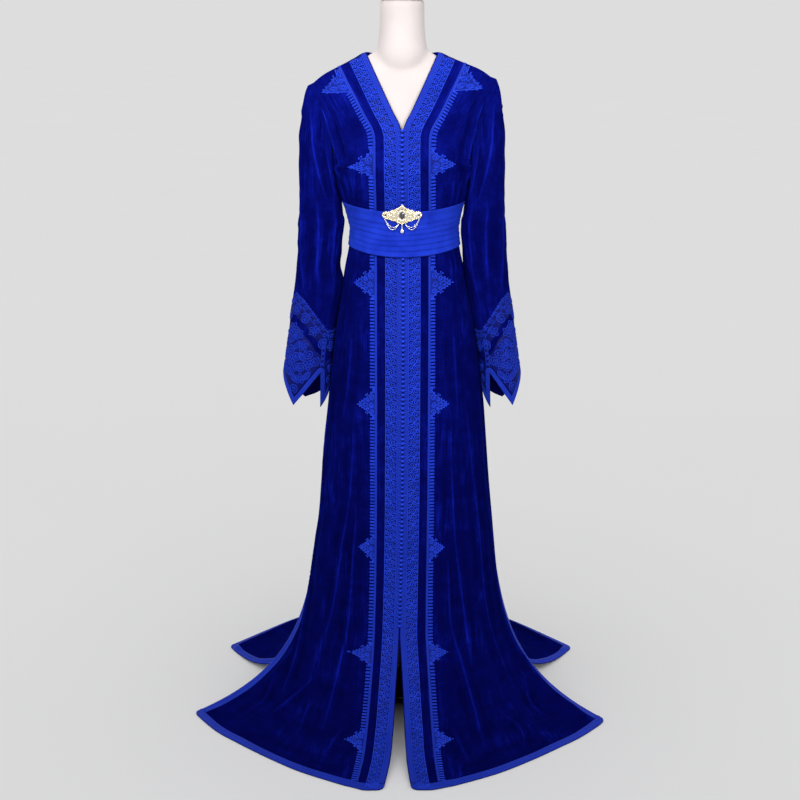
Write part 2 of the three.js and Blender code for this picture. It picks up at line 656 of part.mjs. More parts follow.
// A low round stone with a flat back
function dome(center, rx, rz, high, around) {
  const ring = (k, lift) => Array.from({ length: around }, (unused, i) => {
    const angle = (i / around) * Math.PI * 2;
    const rise = Math.sin(angle) * rz * k;
    return [center[0] + Math.cos(angle) * rx * k, center[1] - lift - BROOCH.lean * rise, center[2] + rise];
  });
  return loft([ring(1, 0), ring(0.95, high * 0.5), ring(0.6, high * 0.9)]);
}

// A round cord along points, swelling and narrowing like a row of beads
function beadedCord(points, thin, thick) {
  const rings = points.map((p, i) => {
    const before = points[Math.max(0, i - 1)];
    const after = points[Math.min(points.length - 1, i + 1)];
    const way = unit(sub(after, before));
    const across = unit(cross(way, [0, 1, 0]));
    const r = i % 2 ? thick : thin;
    return Array.from({ length: 6 }, (unused, k) => {
      const angle = (-k / 6) * Math.PI * 2;
      return add(p, add(mul(across, Math.cos(angle) * r), [0, Math.sin(angle) * r, 0]));
    });
  });
  return loft(rings);
}

// A bead chain hanging from a side lobe to the middle
function broochChain(side) {
  const points = [];
  for (let i = 0; i <= 22; i += 1) {
    const t = i / 22;
    const x = mix(37, 8, t);
    const z = BROOCH.z - mix(11.6, 22, t) - 17 * Math.sin(t * Math.PI) ** 0.9;
    points.push([side * x, broochY(x, z) - BROOCH.thick / 2, z]);
  }
  return beadedCord(points, 0.8, 1.6);
}

// Pear drop under the middle of the plate
function broochDrop() {
  const top = BROOCH.z - 20.4;
  const y = broochY(0, top) - BROOCH.thick / 2;
  const points = [[0, y, top], [0, y, top - 3], [0, y, top - 8], [0, y, top - 10], [0, y, top - 14],
    [0, y, top - 18], [0, y, top - 21]];
  const radii = [1, 1.3, 1.3, 2.6, 4.2, 3.6, 1.2];
  return loft(points.map((p, i) => Array.from({ length: 8 }, (unused, k) => {
    const angle = (k / 8) * Math.PI * 2;
    return [p[0] + Math.cos(angle) * radii[i], p[1] + Math.sin(angle) * radii[i] * 0.6, p[2]];
  })).reverse());
}

// Dress form: the torso keeps inside the cloth, closed over the shoulders and below the hips
const TORSO = {
  inset: 6,
  shoulderInset: 3.4,
  rings: [822, 900, 960, 1010, 1060, 1100, 1140, 1190, 1235],
  yoke: [0.84, 0.674, 0.52, 0.36, 0.2, 0.06, 0.012],
  shares: [-1, -0.93, -0.8, -0.62, -0.4, -0.18, 0, 0.18, 0.4, 0.62, 0.8, 0.93],
};
function torso() {
  const half = TORSO.shares;
  const ring = (place) => [...half.map((s) => place(s, -1)), ...half.map((s) => place(-s, 1))];
  const rings = [];
  TORSO.rings.forEach((z) => {
    rings.push(ring((s, face) => {
      const side = Math.sign(s) || 1;
      const a = sideWidth(z, side) - TORSO.inset - CLOTH;
      const b = look(RINGS, 'z', z, face < 0 ? 'front' : 'back') - TORSO.inset - CLOTH;
      return [a * s, face * b * Math.sqrt(1 - s * s), z];
    }));
  });
  TORSO.yoke.forEach((v) => {
    const wide = look(ARMHOLE, 'v', v, 'wide') - mix(14, 8, v);
    const close = mix(TORSO.shoulderInset, TORSO.inset + CLOTH, Math.min(1, v * 2));
    rings.push(ring((s, face) => {
      const x = Math.abs(s) * wide;
      const top = SHOULDER_TOP - SHOULDER_SLOPE * Math.max(x, 50) - close;
      const rise = v < YOKE_V[1] ? (v / YOKE_V[1]) * Math.sin(YOKE_V[1] * Math.PI * 0.5) ** 0.8
        : Math.sin(v * Math.PI * 0.5) ** 0.8;
      const b = (face < 0 ? RINGS[0].front : RINGS[0].back) * rise;
      const deep = Math.max(0, b - close * v * 1.4);
      return [s * wide, face * deep * Math.sqrt(1 - s * s), mix(top, UNDERARM_Z, v)];
    }));
  });
  return rings;
}

const NECK = [
  { z: 1440, r: 46 }, { z: 1462, r: 55 }, { z: 1480, r: 56 }, { z: 1500, r: 52.5 }, { z: 1522, r: 50 },
  { z: 1550, r: 48.5 }, { z: 1591, r: 48.5 },
];

// A level ring of points and a stack of them turned about the form's axis
function circle(r, z, around, y = 0) {
  return Array.from({ length: around }, (unused, i) => {
    const angle = (i / around) * Math.PI * 2;
    return [Math.cos(angle) * r, y + Math.sin(angle) * r, z];
  });
}

function turned(rows, around, y = 0) {
  return loft(rows.map(({ z, r }) => circle(r, z, around, y)));
}

const CAP = [
  { z: 1591.3, r: 47 }, { z: 1593, r: 49.5 }, { z: 1603, r: 49.5 }, { z: 1606, r: 44 }, { z: 1612, r: 27 },
  { z: 1622, r: 12 }, { z: 1626, r: 11 }, { z: 1634, r: 15 }, { z: 1642, r: 15 }, { z: 1648, r: 9 },
];
const POLE = [{ z: 18.3, r: 12 }, { z: 821.7, r: 12 }];
const BASE = [{ z: 0, r: 138 }, { z: 2, r: 140 }, { z: 10, r: 140 }, { z: 14, r: 128 }, { z: 18, r: 34 }];

const LOOKS = {
  velvet: { color: 0x0a1f8f, roughness: 0.9, metalness: 0 },
  braid: { color: 0x1f46d8, roughness: 0.6, metalness: 0 },
  sash: { color: 0x1e36c4, roughness: 0.75, metalness: 0 },
  gold: { color: 0xe2c47a, roughness: 0.25, metalness: 1 },
  stone: { color: 0x20232c, roughness: 0.1, metalness: 0 },
  linen: { color: 0xefe9e2, roughness: 0.85, metalness: 0 },
  wood: { color: 0x7a5334, roughness: 0.5, metalness: 0 },
  steel: { color: 0xa9abae, roughness: 0.35, metalness: 1 },
};

// A named mesh in one of the looks
function named(name, look, geometry) {
  geometry.computeVertexNormals();
  const mesh = new THREE.Mesh(geometry, new THREE.MeshStandardMaterial(LOOKS[look]));
  mesh.name = name;
  return mesh;
}

// Torso and neck as one padded body
async function formBody() {
  const { default: Module } = await import('manifold-3d');
  const wasm = await Module();
  wasm.setup();
  const body = (geometry) => new wasm.Manifold(new wasm.Mesh({
    numProp: 3,
    vertProperties: new Float32Array(geometry.attributes.position.array),
    triVerts: new Uint32Array(geometry.index.array),
  }));
  const joined = body(loft(torso())).add(body(turned(NECK, 24, 3))).getMesh();
  return solid(Array.from(joined.vertProperties), Array.from(joined.triVerts));
}

async function build() {
  const group = new THREE.Group();
  group.name = 'kaftan';
  const back = backPanel();
  const put = (...args) => group.add(named(...args));
  put('back', 'velvet', shell(back.grid, back.normals, -CLOTH, 0, { flip: -1 }));
  const ventRow = YOKE_V.length + BACK_Z.length;
  put('hem_braid_back', 'braid', hemBraid(back, ['start', 'end'], -1, ventRow));
  put('neck_braid', 'braid', neckBraid(back));
  [[-1, 'right'], [1, 'left']].forEach(([side, hand]) => {
    const front = frontPanel(side);
    const arm = sleeve(side, front, back);
    const flip = -side;
    const hem = arm.grid.length - 1;
    const turn = (r, c) => c === MOTIF_COLUMN && belowTip(r);
    put(`front_${hand}`, 'velvet', shell(front.grid, front.normals, -CLOTH, 0, { flip: side, turn }));
    put(`edge_braid_${hand}`, 'braid', band(front, side, BRAID_D));
    put(`lace_band_${hand}`, 'braid', band(front, side, LACE_D));
    put(`motif_band_${hand}`, 'braid', motifBand(front, side));
    put(`hem_braid_front_${hand}`, 'braid', hemBraid(front, ['end'], side, VENT_ROW + 1));
    put(`sleeve_${hand}`, 'velvet', shell(arm.grid, arm.normals, -CLOTH, 0, { wrap: true, flip }));
    put(`cuff_embroidery_${hand}`, 'braid', cuffPatch(arm, side, CUFF_ROW, hem - 1, GAP, GAP + TRIM));
    put(`cuff_braid_${hand}`, 'braid', cuffPatch(arm, side, hem - 1, hem, GAP, GAP + TRIM));
    put(`brooch_chain_${hand}`, 'gold', broochChain(side));
    if (side < 0) put('button_row', 'braid', buttonRow(front));
  });
  put('sash', 'sash', sash());
  put('brooch_plate', 'gold', broochPlate());
  put('brooch_stone', 'stone', dome([0, BROOCH.y - BROOCH.thick - GAP, BROOCH.z + 1], 6, 8, 4, 12));
  put('brooch_drop', 'gold', broochDrop());
  put('form_torso', 'linen', await formBody());
  put('form_neck_cap', 'wood', turned(CAP, 24, 3));
  put('form_pole', 'steel', turned(POLE, 16));
  put('form_base', 'steel', turned(BASE, 32));
  return group;
}

export default await build();
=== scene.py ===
"""Looks of a royal blue velvet kaftan worn by a limbless dress form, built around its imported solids."""
import json
import math

import bmesh
import bpy
import numpy as np
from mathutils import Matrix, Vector

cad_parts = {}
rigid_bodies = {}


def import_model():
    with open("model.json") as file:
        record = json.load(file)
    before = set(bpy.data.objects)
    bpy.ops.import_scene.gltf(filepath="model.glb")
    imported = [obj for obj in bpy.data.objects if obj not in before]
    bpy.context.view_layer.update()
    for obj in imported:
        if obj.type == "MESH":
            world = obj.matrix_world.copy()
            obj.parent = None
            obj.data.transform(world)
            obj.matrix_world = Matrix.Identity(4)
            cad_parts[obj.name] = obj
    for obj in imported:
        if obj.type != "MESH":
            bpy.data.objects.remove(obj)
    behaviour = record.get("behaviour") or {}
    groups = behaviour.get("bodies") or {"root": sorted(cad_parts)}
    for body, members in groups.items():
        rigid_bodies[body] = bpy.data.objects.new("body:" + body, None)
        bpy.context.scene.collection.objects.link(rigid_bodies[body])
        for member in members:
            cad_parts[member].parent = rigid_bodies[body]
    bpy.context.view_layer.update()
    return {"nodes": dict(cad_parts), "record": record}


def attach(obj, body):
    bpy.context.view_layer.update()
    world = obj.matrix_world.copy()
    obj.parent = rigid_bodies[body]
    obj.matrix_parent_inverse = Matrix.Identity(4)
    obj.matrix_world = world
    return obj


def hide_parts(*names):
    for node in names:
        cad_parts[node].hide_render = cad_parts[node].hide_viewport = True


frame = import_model()
MM = 0.001
SEED = 7
# Sizes of the mesh cells, in millimetres
FRONT_SPACING = 5.5
BACK_SPACING = 6.8
SLEEVE_SPACING = 6

# Sizes shared with the solids, in millimetres
CLOTH = 2.0
GAP = 0.3
HALF_GAP = 0.2
UNDERARM_Z = 1235.0
NECK_HALF = 78.0
SHOULDER_TOP = 1519.0
SHOULDER_SLOPE = 0.502
LEFT_RAISE = 0.11
NECK_BACK_DEPTH = 74.0
HEM_BRAID = 20.0
HEM_T = 0.972

# Rings of the body: height, half width, front depth, back depth, shift to the left
RINGS = np.array([
    (1235, 160, 122, 98, 0), (1190, 148, 114, 94, 2), (1140, 128, 102, 88, 4), (1100, 119, 97, 84, 5),
    (1060, 123, 98, 88, 5), (1010, 133, 104, 100, 5), (960, 143, 110, 112, 6), (900, 155, 118, 124, 7),
    (840, 164, 124, 132, 8), (770, 172, 130, 138, 9), (700, 179, 136, 144, 9), (625, 185, 142, 150, 9),
    (550, 191, 148, 157, 9), (477, 197, 154, 165, 9), (402, 205, 162, 174, 8), (326, 214, 172, 186, 6),
], float)
WIDE, FRONT, BACK, SHIFT = 1, 2, 3, 4
# Armhole: depth under the shoulder, armhole edge, shoulder width
ARMHOLE = np.array([(0, 205, 205), (0.28, 180, 191), (0.55, 162, 180), (0.84, 151, 166.5),
                    (0.95, 152, 162), (1, 160, 160)])
YOKE_V = [0, 0.06, 0.2, 0.36, 0.52, 0.674, 0.84, 0.95, 1]
FRONT_Z = [1217, 1190, 1160, 1130, 1100, 1060, 1025, 996, 967, 930, 885, 840, 795, 751, 722, 693, 645,
           595, 545, 500, 460, 422, 393, 364, 326]
BACK_Z = [1190, 1140, 1100, 1060, 1010, 960, 900, 840, 770, 700, 625, 550, 477, 402, 326]
FLARE_T = [0.16, 0.27, 0.36, 0.46, 0.58, 0.7, 0.8, 0.9, HEM_T, 1]
VENT_GUIDES = [(205, -10, 50), (315, -75, 2)]
FRONT_D = [0, 15.5, 41, 60, 70, 108]
FRONT_SHARE = [0.2, 0.4, 0.6, 0.78, 0.91, 1]
BACK_SHARE = [0, 0.127, 0.254, 0.38, 0.53, 0.68, 0.82, 0.94, 1]
HEM_FRONT = {
    -1: [(-45, -532), (-83, -533), (-132, -509), (-191, -477), (-240, -444), (-322, -376), (-396, -306),
         (-448, -251), (-479, -194)],
    1: [(27, -532), (71, -531), (124, -509), (187, -477), (240, -444), (324, -376), (403, -306),
        (444, -269), (464, -228)],
}
HEM_BACK = {
    -1: [(0, 452), (-105, 438), (-200, 390), (-282, 327), (-357, 240), (-409, 192), (-439, 158)],
    1: [(0, 452), (105, 438), (200, 390), (285, 320), (357, 244), (404, 192), (432, 150)],
}
FRONT_FOLDS = [(38, 8, 5), (56, 8, 9), (74, 7, 6)]
BACK_FOLDS = [(9, 7, 6), (29, 8, 8), (50, 8, 9), (70, 8, 6)]
# Motifs of the outer band: first, tip and last row of the front grid, and how far they reach out
MOTIF_ROWS = {
    -1: [(5.75, 7.35, 8.75, 56), (15, 16.35, 17.3, 46), (21.8, 23.1, 24.06, 38), (30, 31.05, 32.1, 36),
         (35.2, 35.85, 36.35, 50), (39.2, 39.88, 40.3, 46)],
    1: [(5.8, 6.9, 8.75, 54), (15, 16.3, 17.3, 50), (21.8, 23.05, 24.03, 42), (30, 31.05, 32.1, 36),
        (35.15, 35.75, 36.3, 44), (39.2, 39.75, 40.25, 44)],
}
HEM_ROW = len(YOKE_V) + len(FRONT_Z) + len(FLARE_T) - 2
SASH = dict(top=1148, low=1049, side_lift=12, clear=1.2, front_clear=6.5)
SLEEVE_RINGS = np.array([
    (1150, 229, 132, 44, -2), (1115, 232, 127, 43, -3), (1047, 236, 134, 41, -5), (979, 241, 141, 40, -8),
    (910, 251, 156, 39, -11), (840, 260, 163, 39, -14), (770, 271, 165, 39, -16),
    (690, 274, 168, 39, -18),
], float)
# Columns of the sleeve: seam row, face, cuff angle, top of the embroidery, hem height
SLEEVE_COLUMNS = [
    (0, -1, 0, 930, 776), (1, -1, 32, 955, 738), (2, -1, 60, 942, 700), (3, -1, 82, 920, 724),
    (4, -1, 103, 897, 751), (5, -1, 125, 873, 776), (6, -1, 133, 868, 694), (7, -1, 157, 866, 716),
    (8, 1, 180, 870, 742), (7, 1, 203, 885, 735), (6, 1, 226, 905, 720), (5, 1, 250, 925, 708),
    (4, 1, 274, 940, 700), (3, 1, 297, 940, 716), (2, 1, 319, 935, 740), (1, 1, 340, 930, 762),
]
CUFF_SHARES = [0, 0.17, 0.33, 0.5, 0.66, 0.8, 0.92, 1]
SLEEVE_COUNT = len(SLEEVE_COLUMNS)
BACK_LAST = 2 * (len(BACK_SHARE) - 1)
FORWARD = np.array([0, -1.0, 0])
BROOCH = dict(z=1143, y=-113.9, lean=0.16, bow=0.0035, thick=3)


# Camera, light and floor

CAMERA_PLACE = (-0.0045, -3.2, 1.6)
CAMERA_DOWN = 15.7524
SENSOR = 36.0
LENS = 64.70685
FLOOR_REACH = (900, -60, 1500)
LAMPS = (("key", (-1.1, -2.2, 2.7), 1.3, 12), ("fill", (1.6, -2.6, 2.3), 1.6, 9.5),
         ("top", (0, 0.6, 3.2), 1.6, 3))
LAMP_SPREAD = 62
LAMP_TARGET = (0, 0, 1.4)


def make_camera():
    data = bpy.data.cameras.new("camera")
    data.sensor_width, data.lens = SENSOR, LENS
    data.clip_start, data.clip_end = 0.05, 3000
    camera = bpy.data.objects.new("camera", data)
    bpy.context.scene.collection.objects.link(camera)
    camera.location = CAMERA_PLACE
    camera.rotation_euler = (math.radians(90 - CAMERA_DOWN), 0, 0)
    bpy.context.scene.camera = camera


make_camera()


# Tables and curves

def ring(z, column):
    return np.interp(-np.asarray(z, float), -RINGS[:, 0], RINGS[:, column])


def sleeve_ring(z, column):
    return np.interp(-np.asarray(z, float), -SLEEVE_RINGS[:, 0], SLEEVE_RINGS[:, column])


def side_width(z, side):
    return ring(z, WIDE) + side * ring(z, SHIFT)


def run_along(line):
    """Length along a line at each of its points."""
    return np.concatenate([[0], np.cumsum(np.linalg.norm(np.diff(line, axis=0), axis=1))])


def mean_run(grid, axis):
    """Mean length along one axis of a grid of points."""
    steps = np.linalg.norm(np.diff(grid, axis=axis), axis=2)
    return np.concatenate([[0], np.cumsum(steps.mean(axis=1 - axis))])


def circle(count):
    return np.arange(count) / count * 2 * math.pi


def unit(v):
    v = np.asarray(v, float)
    return v / np.maximum(np.linalg.norm(v, axis=-1, keepdims=True), 1e-12)


def smooth_axis(values, knots, at):
    """Cubic curve through values at uneven knots, sampled along the first axis."""
    knots, at = np.asarray(knots, float), np.asarray(at, float)
    steps = np.diff(knots)
    slopes = np.diff(values, axis=0) / steps.reshape((-1,) + (1,) * (values.ndim - 1))
    tangents = np.empty_like(values)
    w = steps.reshape((-1,) + (1,) * (values.ndim - 1))
    tangents[1:-1] = (slopes[1:] * w[:-1] + slopes[:-1] * w[1:]) / (w[:-1] + w[1:])
    tangents[0], tangents[-1] = slopes[0], slopes[-1]
    k = np.clip(np.searchsorted(knots, at, side="right") - 1, 0, len(knots) - 2)
    h = steps[k]
    t = (at - knots[k]) / h
    shape = (-1,) + (1,) * (values.ndim - 1)
    t, h = t.reshape(shape), h.reshape(shape)
    return ((2 * t**3 - 3 * t**2 + 1) * values[k] + (t**3 - 2 * t**2 + t) * h * tangents[k]
            + (3 * t**2 - 2 * t**3) * values[k + 1] + (t**3 - t**2) * h * tangents[k + 1])


def cell_noise(x, y, seed=0):
    """Smooth value noise in two directions, from -1 to 1."""
    x, y = np.asarray(x, float), np.asarray(y, float)
    i, j = np.floor(x).astype(int), np.floor(y).astype(int)
    u, v = x - i, y - j
    u, v = u * u * (3 - 2 * u), v * v * (3 - 2 * v)

    def corner(a, b):
        n = np.sin(a * 127.1 + b * 311.7 + seed * 74.7) * 43758.5453
        return (n - np.floor(n)) * 2 - 1

    top = corner(i, j) * (1 - u) + corner(i + 1, j) * u
    low = corner(i, j + 1) * (1 - u) + corner(i + 1, j + 1) * u
    return top * (1 - v) + low * v


def along(line, share=None, distance=None):
    line = np.asarray(line, float)
    run = run_along(line)
    at = share * run[-1] if distance is None else distance
    return np.array([np.interp(at, run, line[:, k]) for k in range(line.shape[1])])


def remainder(line, distance):
    line = np.asarray(line, float)
    run = run_along(line)
    return np.vstack([along(line, distance=distance), line[run > distance + 1]])


# Coarse grids of the cloth, on the same tables as the solids

def neck_edge(v):
    return max(HALF_GAP, (198.1 - 284 * v) / (2.542 - 0.502 * v))


def yoke_point(x, v, side, face):
    wide = np.interp(v, ARMHOLE[:, 0], ARMHOLE[:, 2])
    inside = face > 0 and x < NECK_HALF
    drop = 14 * (1 - (x / NECK_HALF) ** 2) if inside else 0
    raised = LEFT_RAISE * max(0, x - NECK_HALF) if side > 0 else 0
    top = SHOULDER_TOP - SHOULDER_SLOPE * max(x, NECK_HALF if face > 0 else 0) - drop + raised
    deep = RINGS[0, FRONT if face < 0 else BACK]
    y = deep * math.sqrt(max(0, 1 - (x / wide) ** 2)) * math.sin(v * math.pi / 2) ** 0.8
    if inside:
        y += NECK_BACK_DEPTH * math.sqrt(1 - (x / NECK_HALF) ** 2) * (1 - v) ** 1.7
    return side * x, face * (y + HALF_GAP), top + (UNDERARM_Z - top) * v


def body_point(s, z, side, face):
    a, deep = side_width(z, side), ring(z, FRONT if face < 0 else BACK)
    flat = math.sqrt(max(0, 1 - s * s))
    grow = min(1, max(0, (1010 - z) / 600))
    degrees = math.degrees(math.asin(s))
    high = sum(h * grow * math.exp(-(((degrees - at) / spread) ** 2))
               for at, spread, h in (FRONT_FOLDS if face < 0 else BACK_FOLDS))
    out = unit([s * deep, flat * a])
    return side * (a * s + high * out[0]), face * (deep * flat + high * out[1] + HALF_GAP), z


def curve_point(points, t):
    return np.array([(1 - t) ** 3, 3 * t * (1 - t) ** 2, 3 * t * t * (1 - t), t**3]) @ np.array(points)


def flare_guides(knee, hem, near, high, far, low):
    flat = np.array(hem) - knee[:2]
    return [np.array([*(knee[:2] + flat * near), high]), np.array([*(knee[:2] + flat * far), low])]


def front_flare(knee, hem, t, ripple):
    return curve_point([knee, *flare_guides(knee, hem, 0.1, 135, 0.29, 26 + ripple), [*hem, CLOTH]], t)


def back_flare(knee, hem, t, ripple):
    """The back flare, whose side edges swing forward under the front before they reach the floor."""
    mirror = [math.copysign(1, hem[0]), 1, 1]
    w = min(1, abs(hem[0]) / 436) ** 4
    guides = [p * (1 - w) + np.array(edge) * mirror * w
              for p, edge in zip(flare_guides(knee, hem, 0.02, 145, 0.3, 28 + ripple), VENT_GUIDES)]
    return curve_point([knee, *guides, [*hem, CLOTH]], t)


def body_row(z, side):
    a = side_width(z, side)
    fixed = [min(HALF_GAP + d, a * (0.62 + d * 0.0018)) / a for d in FRONT_D]
    start = math.asin(fixed[-1])
    sines = fixed + [math.sin(start + (math.pi / 2 - start) * share) for share in FRONT_SHARE]
    return [body_point(s, z, side, -1) for s in sines]


def vent_column(row, edge, inner):
    row[inner] = row[edge] + unit(row[inner] - row[edge]) * HEM_BRAID


def front_grid(side):
    rows = []
    for v in YOKE_V[:-1]:
        end = np.interp(v, ARMHOLE[:, 0], ARMHOLE[:, 1])
        fixed = [neck_edge(v) + d for d in FRONT_D]
        xs = fixed + [fixed[-1] + (end - fixed[-1]) * share for share in FRONT_SHARE]
        rows.append([yoke_point(x, v, side, -1) for x in xs])
    rows += [body_row(z, side) for z in [UNDERARM_Z] + FRONT_Z]
    knee = np.array(rows[-1])
    rest = remainder(HEM_FRONT[side], FRONT_D[-1])
    hems = [along(HEM_FRONT[side], distance=d) for d in FRONT_D]
    hems += [along(rest, share) for share in FRONT_SHARE]
    for t in FLARE_T:
        row = np.array([front_flare(p, h, t, 5 * math.sin(i * 1.9 + side))
                        for i, (p, h) in enumerate(zip(knee, hems))])
        vent_column(row, -1, -2)
        rows.append(row)
    return np.array(rows)


def back_grid():
    def full(place):
        right = [place(share, -1) for share in BACK_SHARE][::-1]
        return right + [place(share, 1) for share in BACK_SHARE][1:]

    rows = [full(lambda share, side: yoke_point(share * np.interp(v, ARMHOLE[:, 0], ARMHOLE[:, 1]),
                                                v, side, 1)) for v in YOKE_V[:-1]]
    rows += [full(lambda share, side: body_point(share, z, side, 1)) for z in [UNDERARM_Z] + BACK_Z]
    knee = np.array(rows[-1])
    hems = full(lambda share, side: along(HEM_BACK[side], math.asin(share) * 2 / math.pi))
    for t in FLARE_T:
        row = np.array([back_flare(p, h, t, 5 * math.sin(i * 1.7))
                        for i, (p, h) in enumerate(zip(knee, hems))])
        vent_column(row, 0, 1)
        vent_column(row, -1, -2)
        rows.append(row)
    return np.array(rows)


def beside_body(z, side):
    """How near the hanging sleeve comes to the body: against it, but clear of the sash."""
    z = np.asarray(z, float)
    low = 1000 if side < 0 else SASH["low"] - 14
    beside_sash = np.clip((SASH["top"] + 8 - z) / 12, 0, 1) * np.clip((z - low) / 12, 0, 1)
    return side_width(z, side) - 1.2 + (8.7 if side < 0 else 4.6) * beside_sash


def sleeve_point(angle, z, side):
    """A point of the level sleeve rings, arrays of degrees and heights."""
    outer = sleeve_ring(z, 1)
    beside = beside_body(z, side)
    inner = np.maximum(sleeve_ring(z, 2), beside)
    inner = inner + (beside - inner) * np.clip(((1014 if side < 0 else 1195) - z) / 30, 0, 1)
    turn = np.radians(angle)
    x = (outer + inner) / 2 + (outer - inner) / 2 * np.cos(turn)
    return np.stack([side * x, sleeve_ring(z, 4) - sleeve_ring(z, 3) * np.sin(turn),
                     np.asarray(z, float) + 0 * x], -1)


# Fine cloth surfaces

class Surface:
    """A fine grid of points with normals, addressed by fractional rows and columns of its coarse grid."""

    def __init__(self, coarse, spacing, outward, wrap=False, rows=None, columns=None):
        coarse = np.asarray(coarse, float)
        count = coarse.shape[1]
        if wrap:
            coarse = np.concatenate([coarse[:, -3:], coarse, coarse[:, :4]], axis=1)
        down = mean_run(coarse, 0)
        widths = np.linalg.norm(np.diff(coarse, axis=1), axis=2)
        across = np.concatenate([[0], np.cumsum(widths.mean(axis=0))])
        widest = np.concatenate([[0], np.cumsum(np.percentile(widths, 92, axis=0))])
        self.rows = fine_places(down, spacing) if rows is None else rows
        places = fine_places(widest, spacing * 1.22) if columns is None else columns
        grid = smooth_axis(coarse, down, np.interp(self.rows, np.arange(len(down)), down))
        grid = smooth_axis(grid.transpose(1, 0, 2), across,
                           np.interp(places, np.arange(len(across)), across))
        grid = grid.transpose(1, 0, 2)
        if wrap:
            keep = (places >= 3 - 1e-9) & (places < 3 + count - 1e-9)
            grid, places = grid[:, keep], places[keep] - 3
        self.columns, self.wrap, self.outward, self.points = places, wrap, outward, grid
        self.count = count
        # Painted fold light at each point: distance across the nearest ridge, strength of its painted
        # highlight and of the painted shade beside it; 30 mm across means no highlight.
        self.pile_and_fold_light = np.zeros(grid.shape[:2] + (3,))
        self.pile_and_fold_light[..., 0] = 30
        self.refresh()

    def refresh(self):
        p = self.points
        if self.wrap:
            p = np.concatenate([p[:, -1:], p, p[:, :1]], axis=1)
        across = np.gradient(p, axis=1)
        down = np.gradient(p, axis=0)
        normal = unit(np.cross(across, -down)) * self.outward
        self.normals = normal[:, 1:-1] if self.wrap else normal
        self.down = unit(down[:, 1:-1] if self.wrap else down)

    def round_shoulder(self):
        """Let the cloth fall in a soft curve over the shoulder point."""
        p = self.points
        p[..., 2] -= (7 * np.clip((np.abs(p[..., 0]) - 158) / 34, 0, 1) ** 2 *
                      np.clip((p[..., 2] - 1320) / 60, 0, 1))
        self.refresh()

    def push(self, amount):
        """Move the surface along its normals by millimetres, then find the new normals."""
        self.points = self.points + self.normals * np.asarray(amount)[..., None]
        self.refresh()

    def crease(self, lines, troughs=0.45):
        """Raise soft ridges along lines of rows and columns, each with a width and a height, and store the
        painted highlight along each ridge and the painted shade beside it.
        """
        amount = np.zeros(self.points.shape[:2])
        for places, width, high in lines:
            places = np.array(places, float)
            fine = smooth_axis(places, np.arange(len(places)), np.linspace(0, len(places) - 1, 90))
            line = self.at(fine[:, 0], fine[:, 1])[0]
            step = 0.5 + 0.5 * cell_noise(np.arange(90) / 9, 0, len(places) + int(width * 10))
            fade = np.sin(np.linspace(0.004, 1, 90) * math.pi) ** 0.6 * (0.6 + 0.4 * step)
            low, top = line.min(axis=0) - width * 4, line.max(axis=0) + width * 4
            near = np.all((self.points > low) & (self.points < top), axis=-1)
            away = self.points[near][:, None] - line[None]
            k = np.linalg.norm(away, axis=2).argmin(axis=1)
            away = away[np.arange(len(k)), k]
            sideways = unit(np.cross(self.normals[near], np.gradient(line, axis=0)[k]))
            across = (away * sideways).sum(axis=1)
            d = np.linalg.norm(away, axis=1)
            d = np.where(np.abs(across) > 0.8 * d, np.abs(across), d)
            side = np.exp(-((d - 2.1 * width) / (0.9 * width)) ** 2)
            amount[near] += high * fade[k] * (np.exp(-((d / width) ** 2)) - troughs * side)
            # Painted highlight along the ridge and painted shade beside it, stored for the velvet's colour.
            strength = fade[k] * np.exp(-((d / (1.6 * width)) ** 2)) * min(1.0, high / 3.5)
            pile_and_fold_light = self.pile_and_fold_light[near]
            closer = strength > pile_and_fold_light[:, 1]
            pile_and_fold_light[:, 0] = np.where(closer, across, pile_and_fold_light[:, 0])
            pile_and_fold_light[:, 1] = np.where(closer, strength, pile_and_fold_light[:, 1])
            pile_and_fold_light[:, 2] = np.maximum(pile_and_fold_light[:, 2], fade[k] * side * min(1.0, high / 3.5))
            self.pile_and_fold_light[near] = pile_and_fold_light
        self.push(amount)

    def at(self, row, column, lift=0.0):
        """Points, normals and down directions at fractional places, lifted by millimetres."""
        row, column = np.broadcast_arrays(np.asarray(row, float), np.asarray(column, float))
        r = np.interp(row, self.rows, np.arange(len(self.rows)))
        if self.wrap:
            edges = np.append(self.columns, self.columns[0] + self.count)
            c = np.interp((column - self.columns[0]) % self.count + self.columns[0], edges,
                          np.arange(len(edges)))
        else:
            c = np.interp(column, self.columns, np.arange(len(self.columns)))
        i, j = np.minimum(r.astype(int), len(self.rows) - 2), c.astype(int)
        n = len(self.columns)
        if not self.wrap:
            j = np.minimum(j, n - 2)
        k = (j + 1) % n
        j = j % n
        u, v = (r - i)[..., None], (c - c.astype(int) if self.wrap else c - j)[..., None]

        def blend(field):
            return ((field[i, j] * (1 - v) + field[i, k] * v) * (1 - u)
                    + (field[i + 1, j] * (1 - v) + field[i + 1, k] * v) * u)

        normal = unit(blend(self.normals))
        return blend(self.points) + normal * np.asarray(lift)[..., None], normal, unit(blend(self.down))


def fine_places(run, spacing):
    """Fractional places that cut each step of a run into pieces of about one spacing."""
    places = []
    for k, step in enumerate(np.diff(run)):
        cuts = max(1, int(round(step / spacing)))
        places += [k + i / cuts for i in range(cuts)]
    return np.array(places + [len(run) - 1])


# Meshes

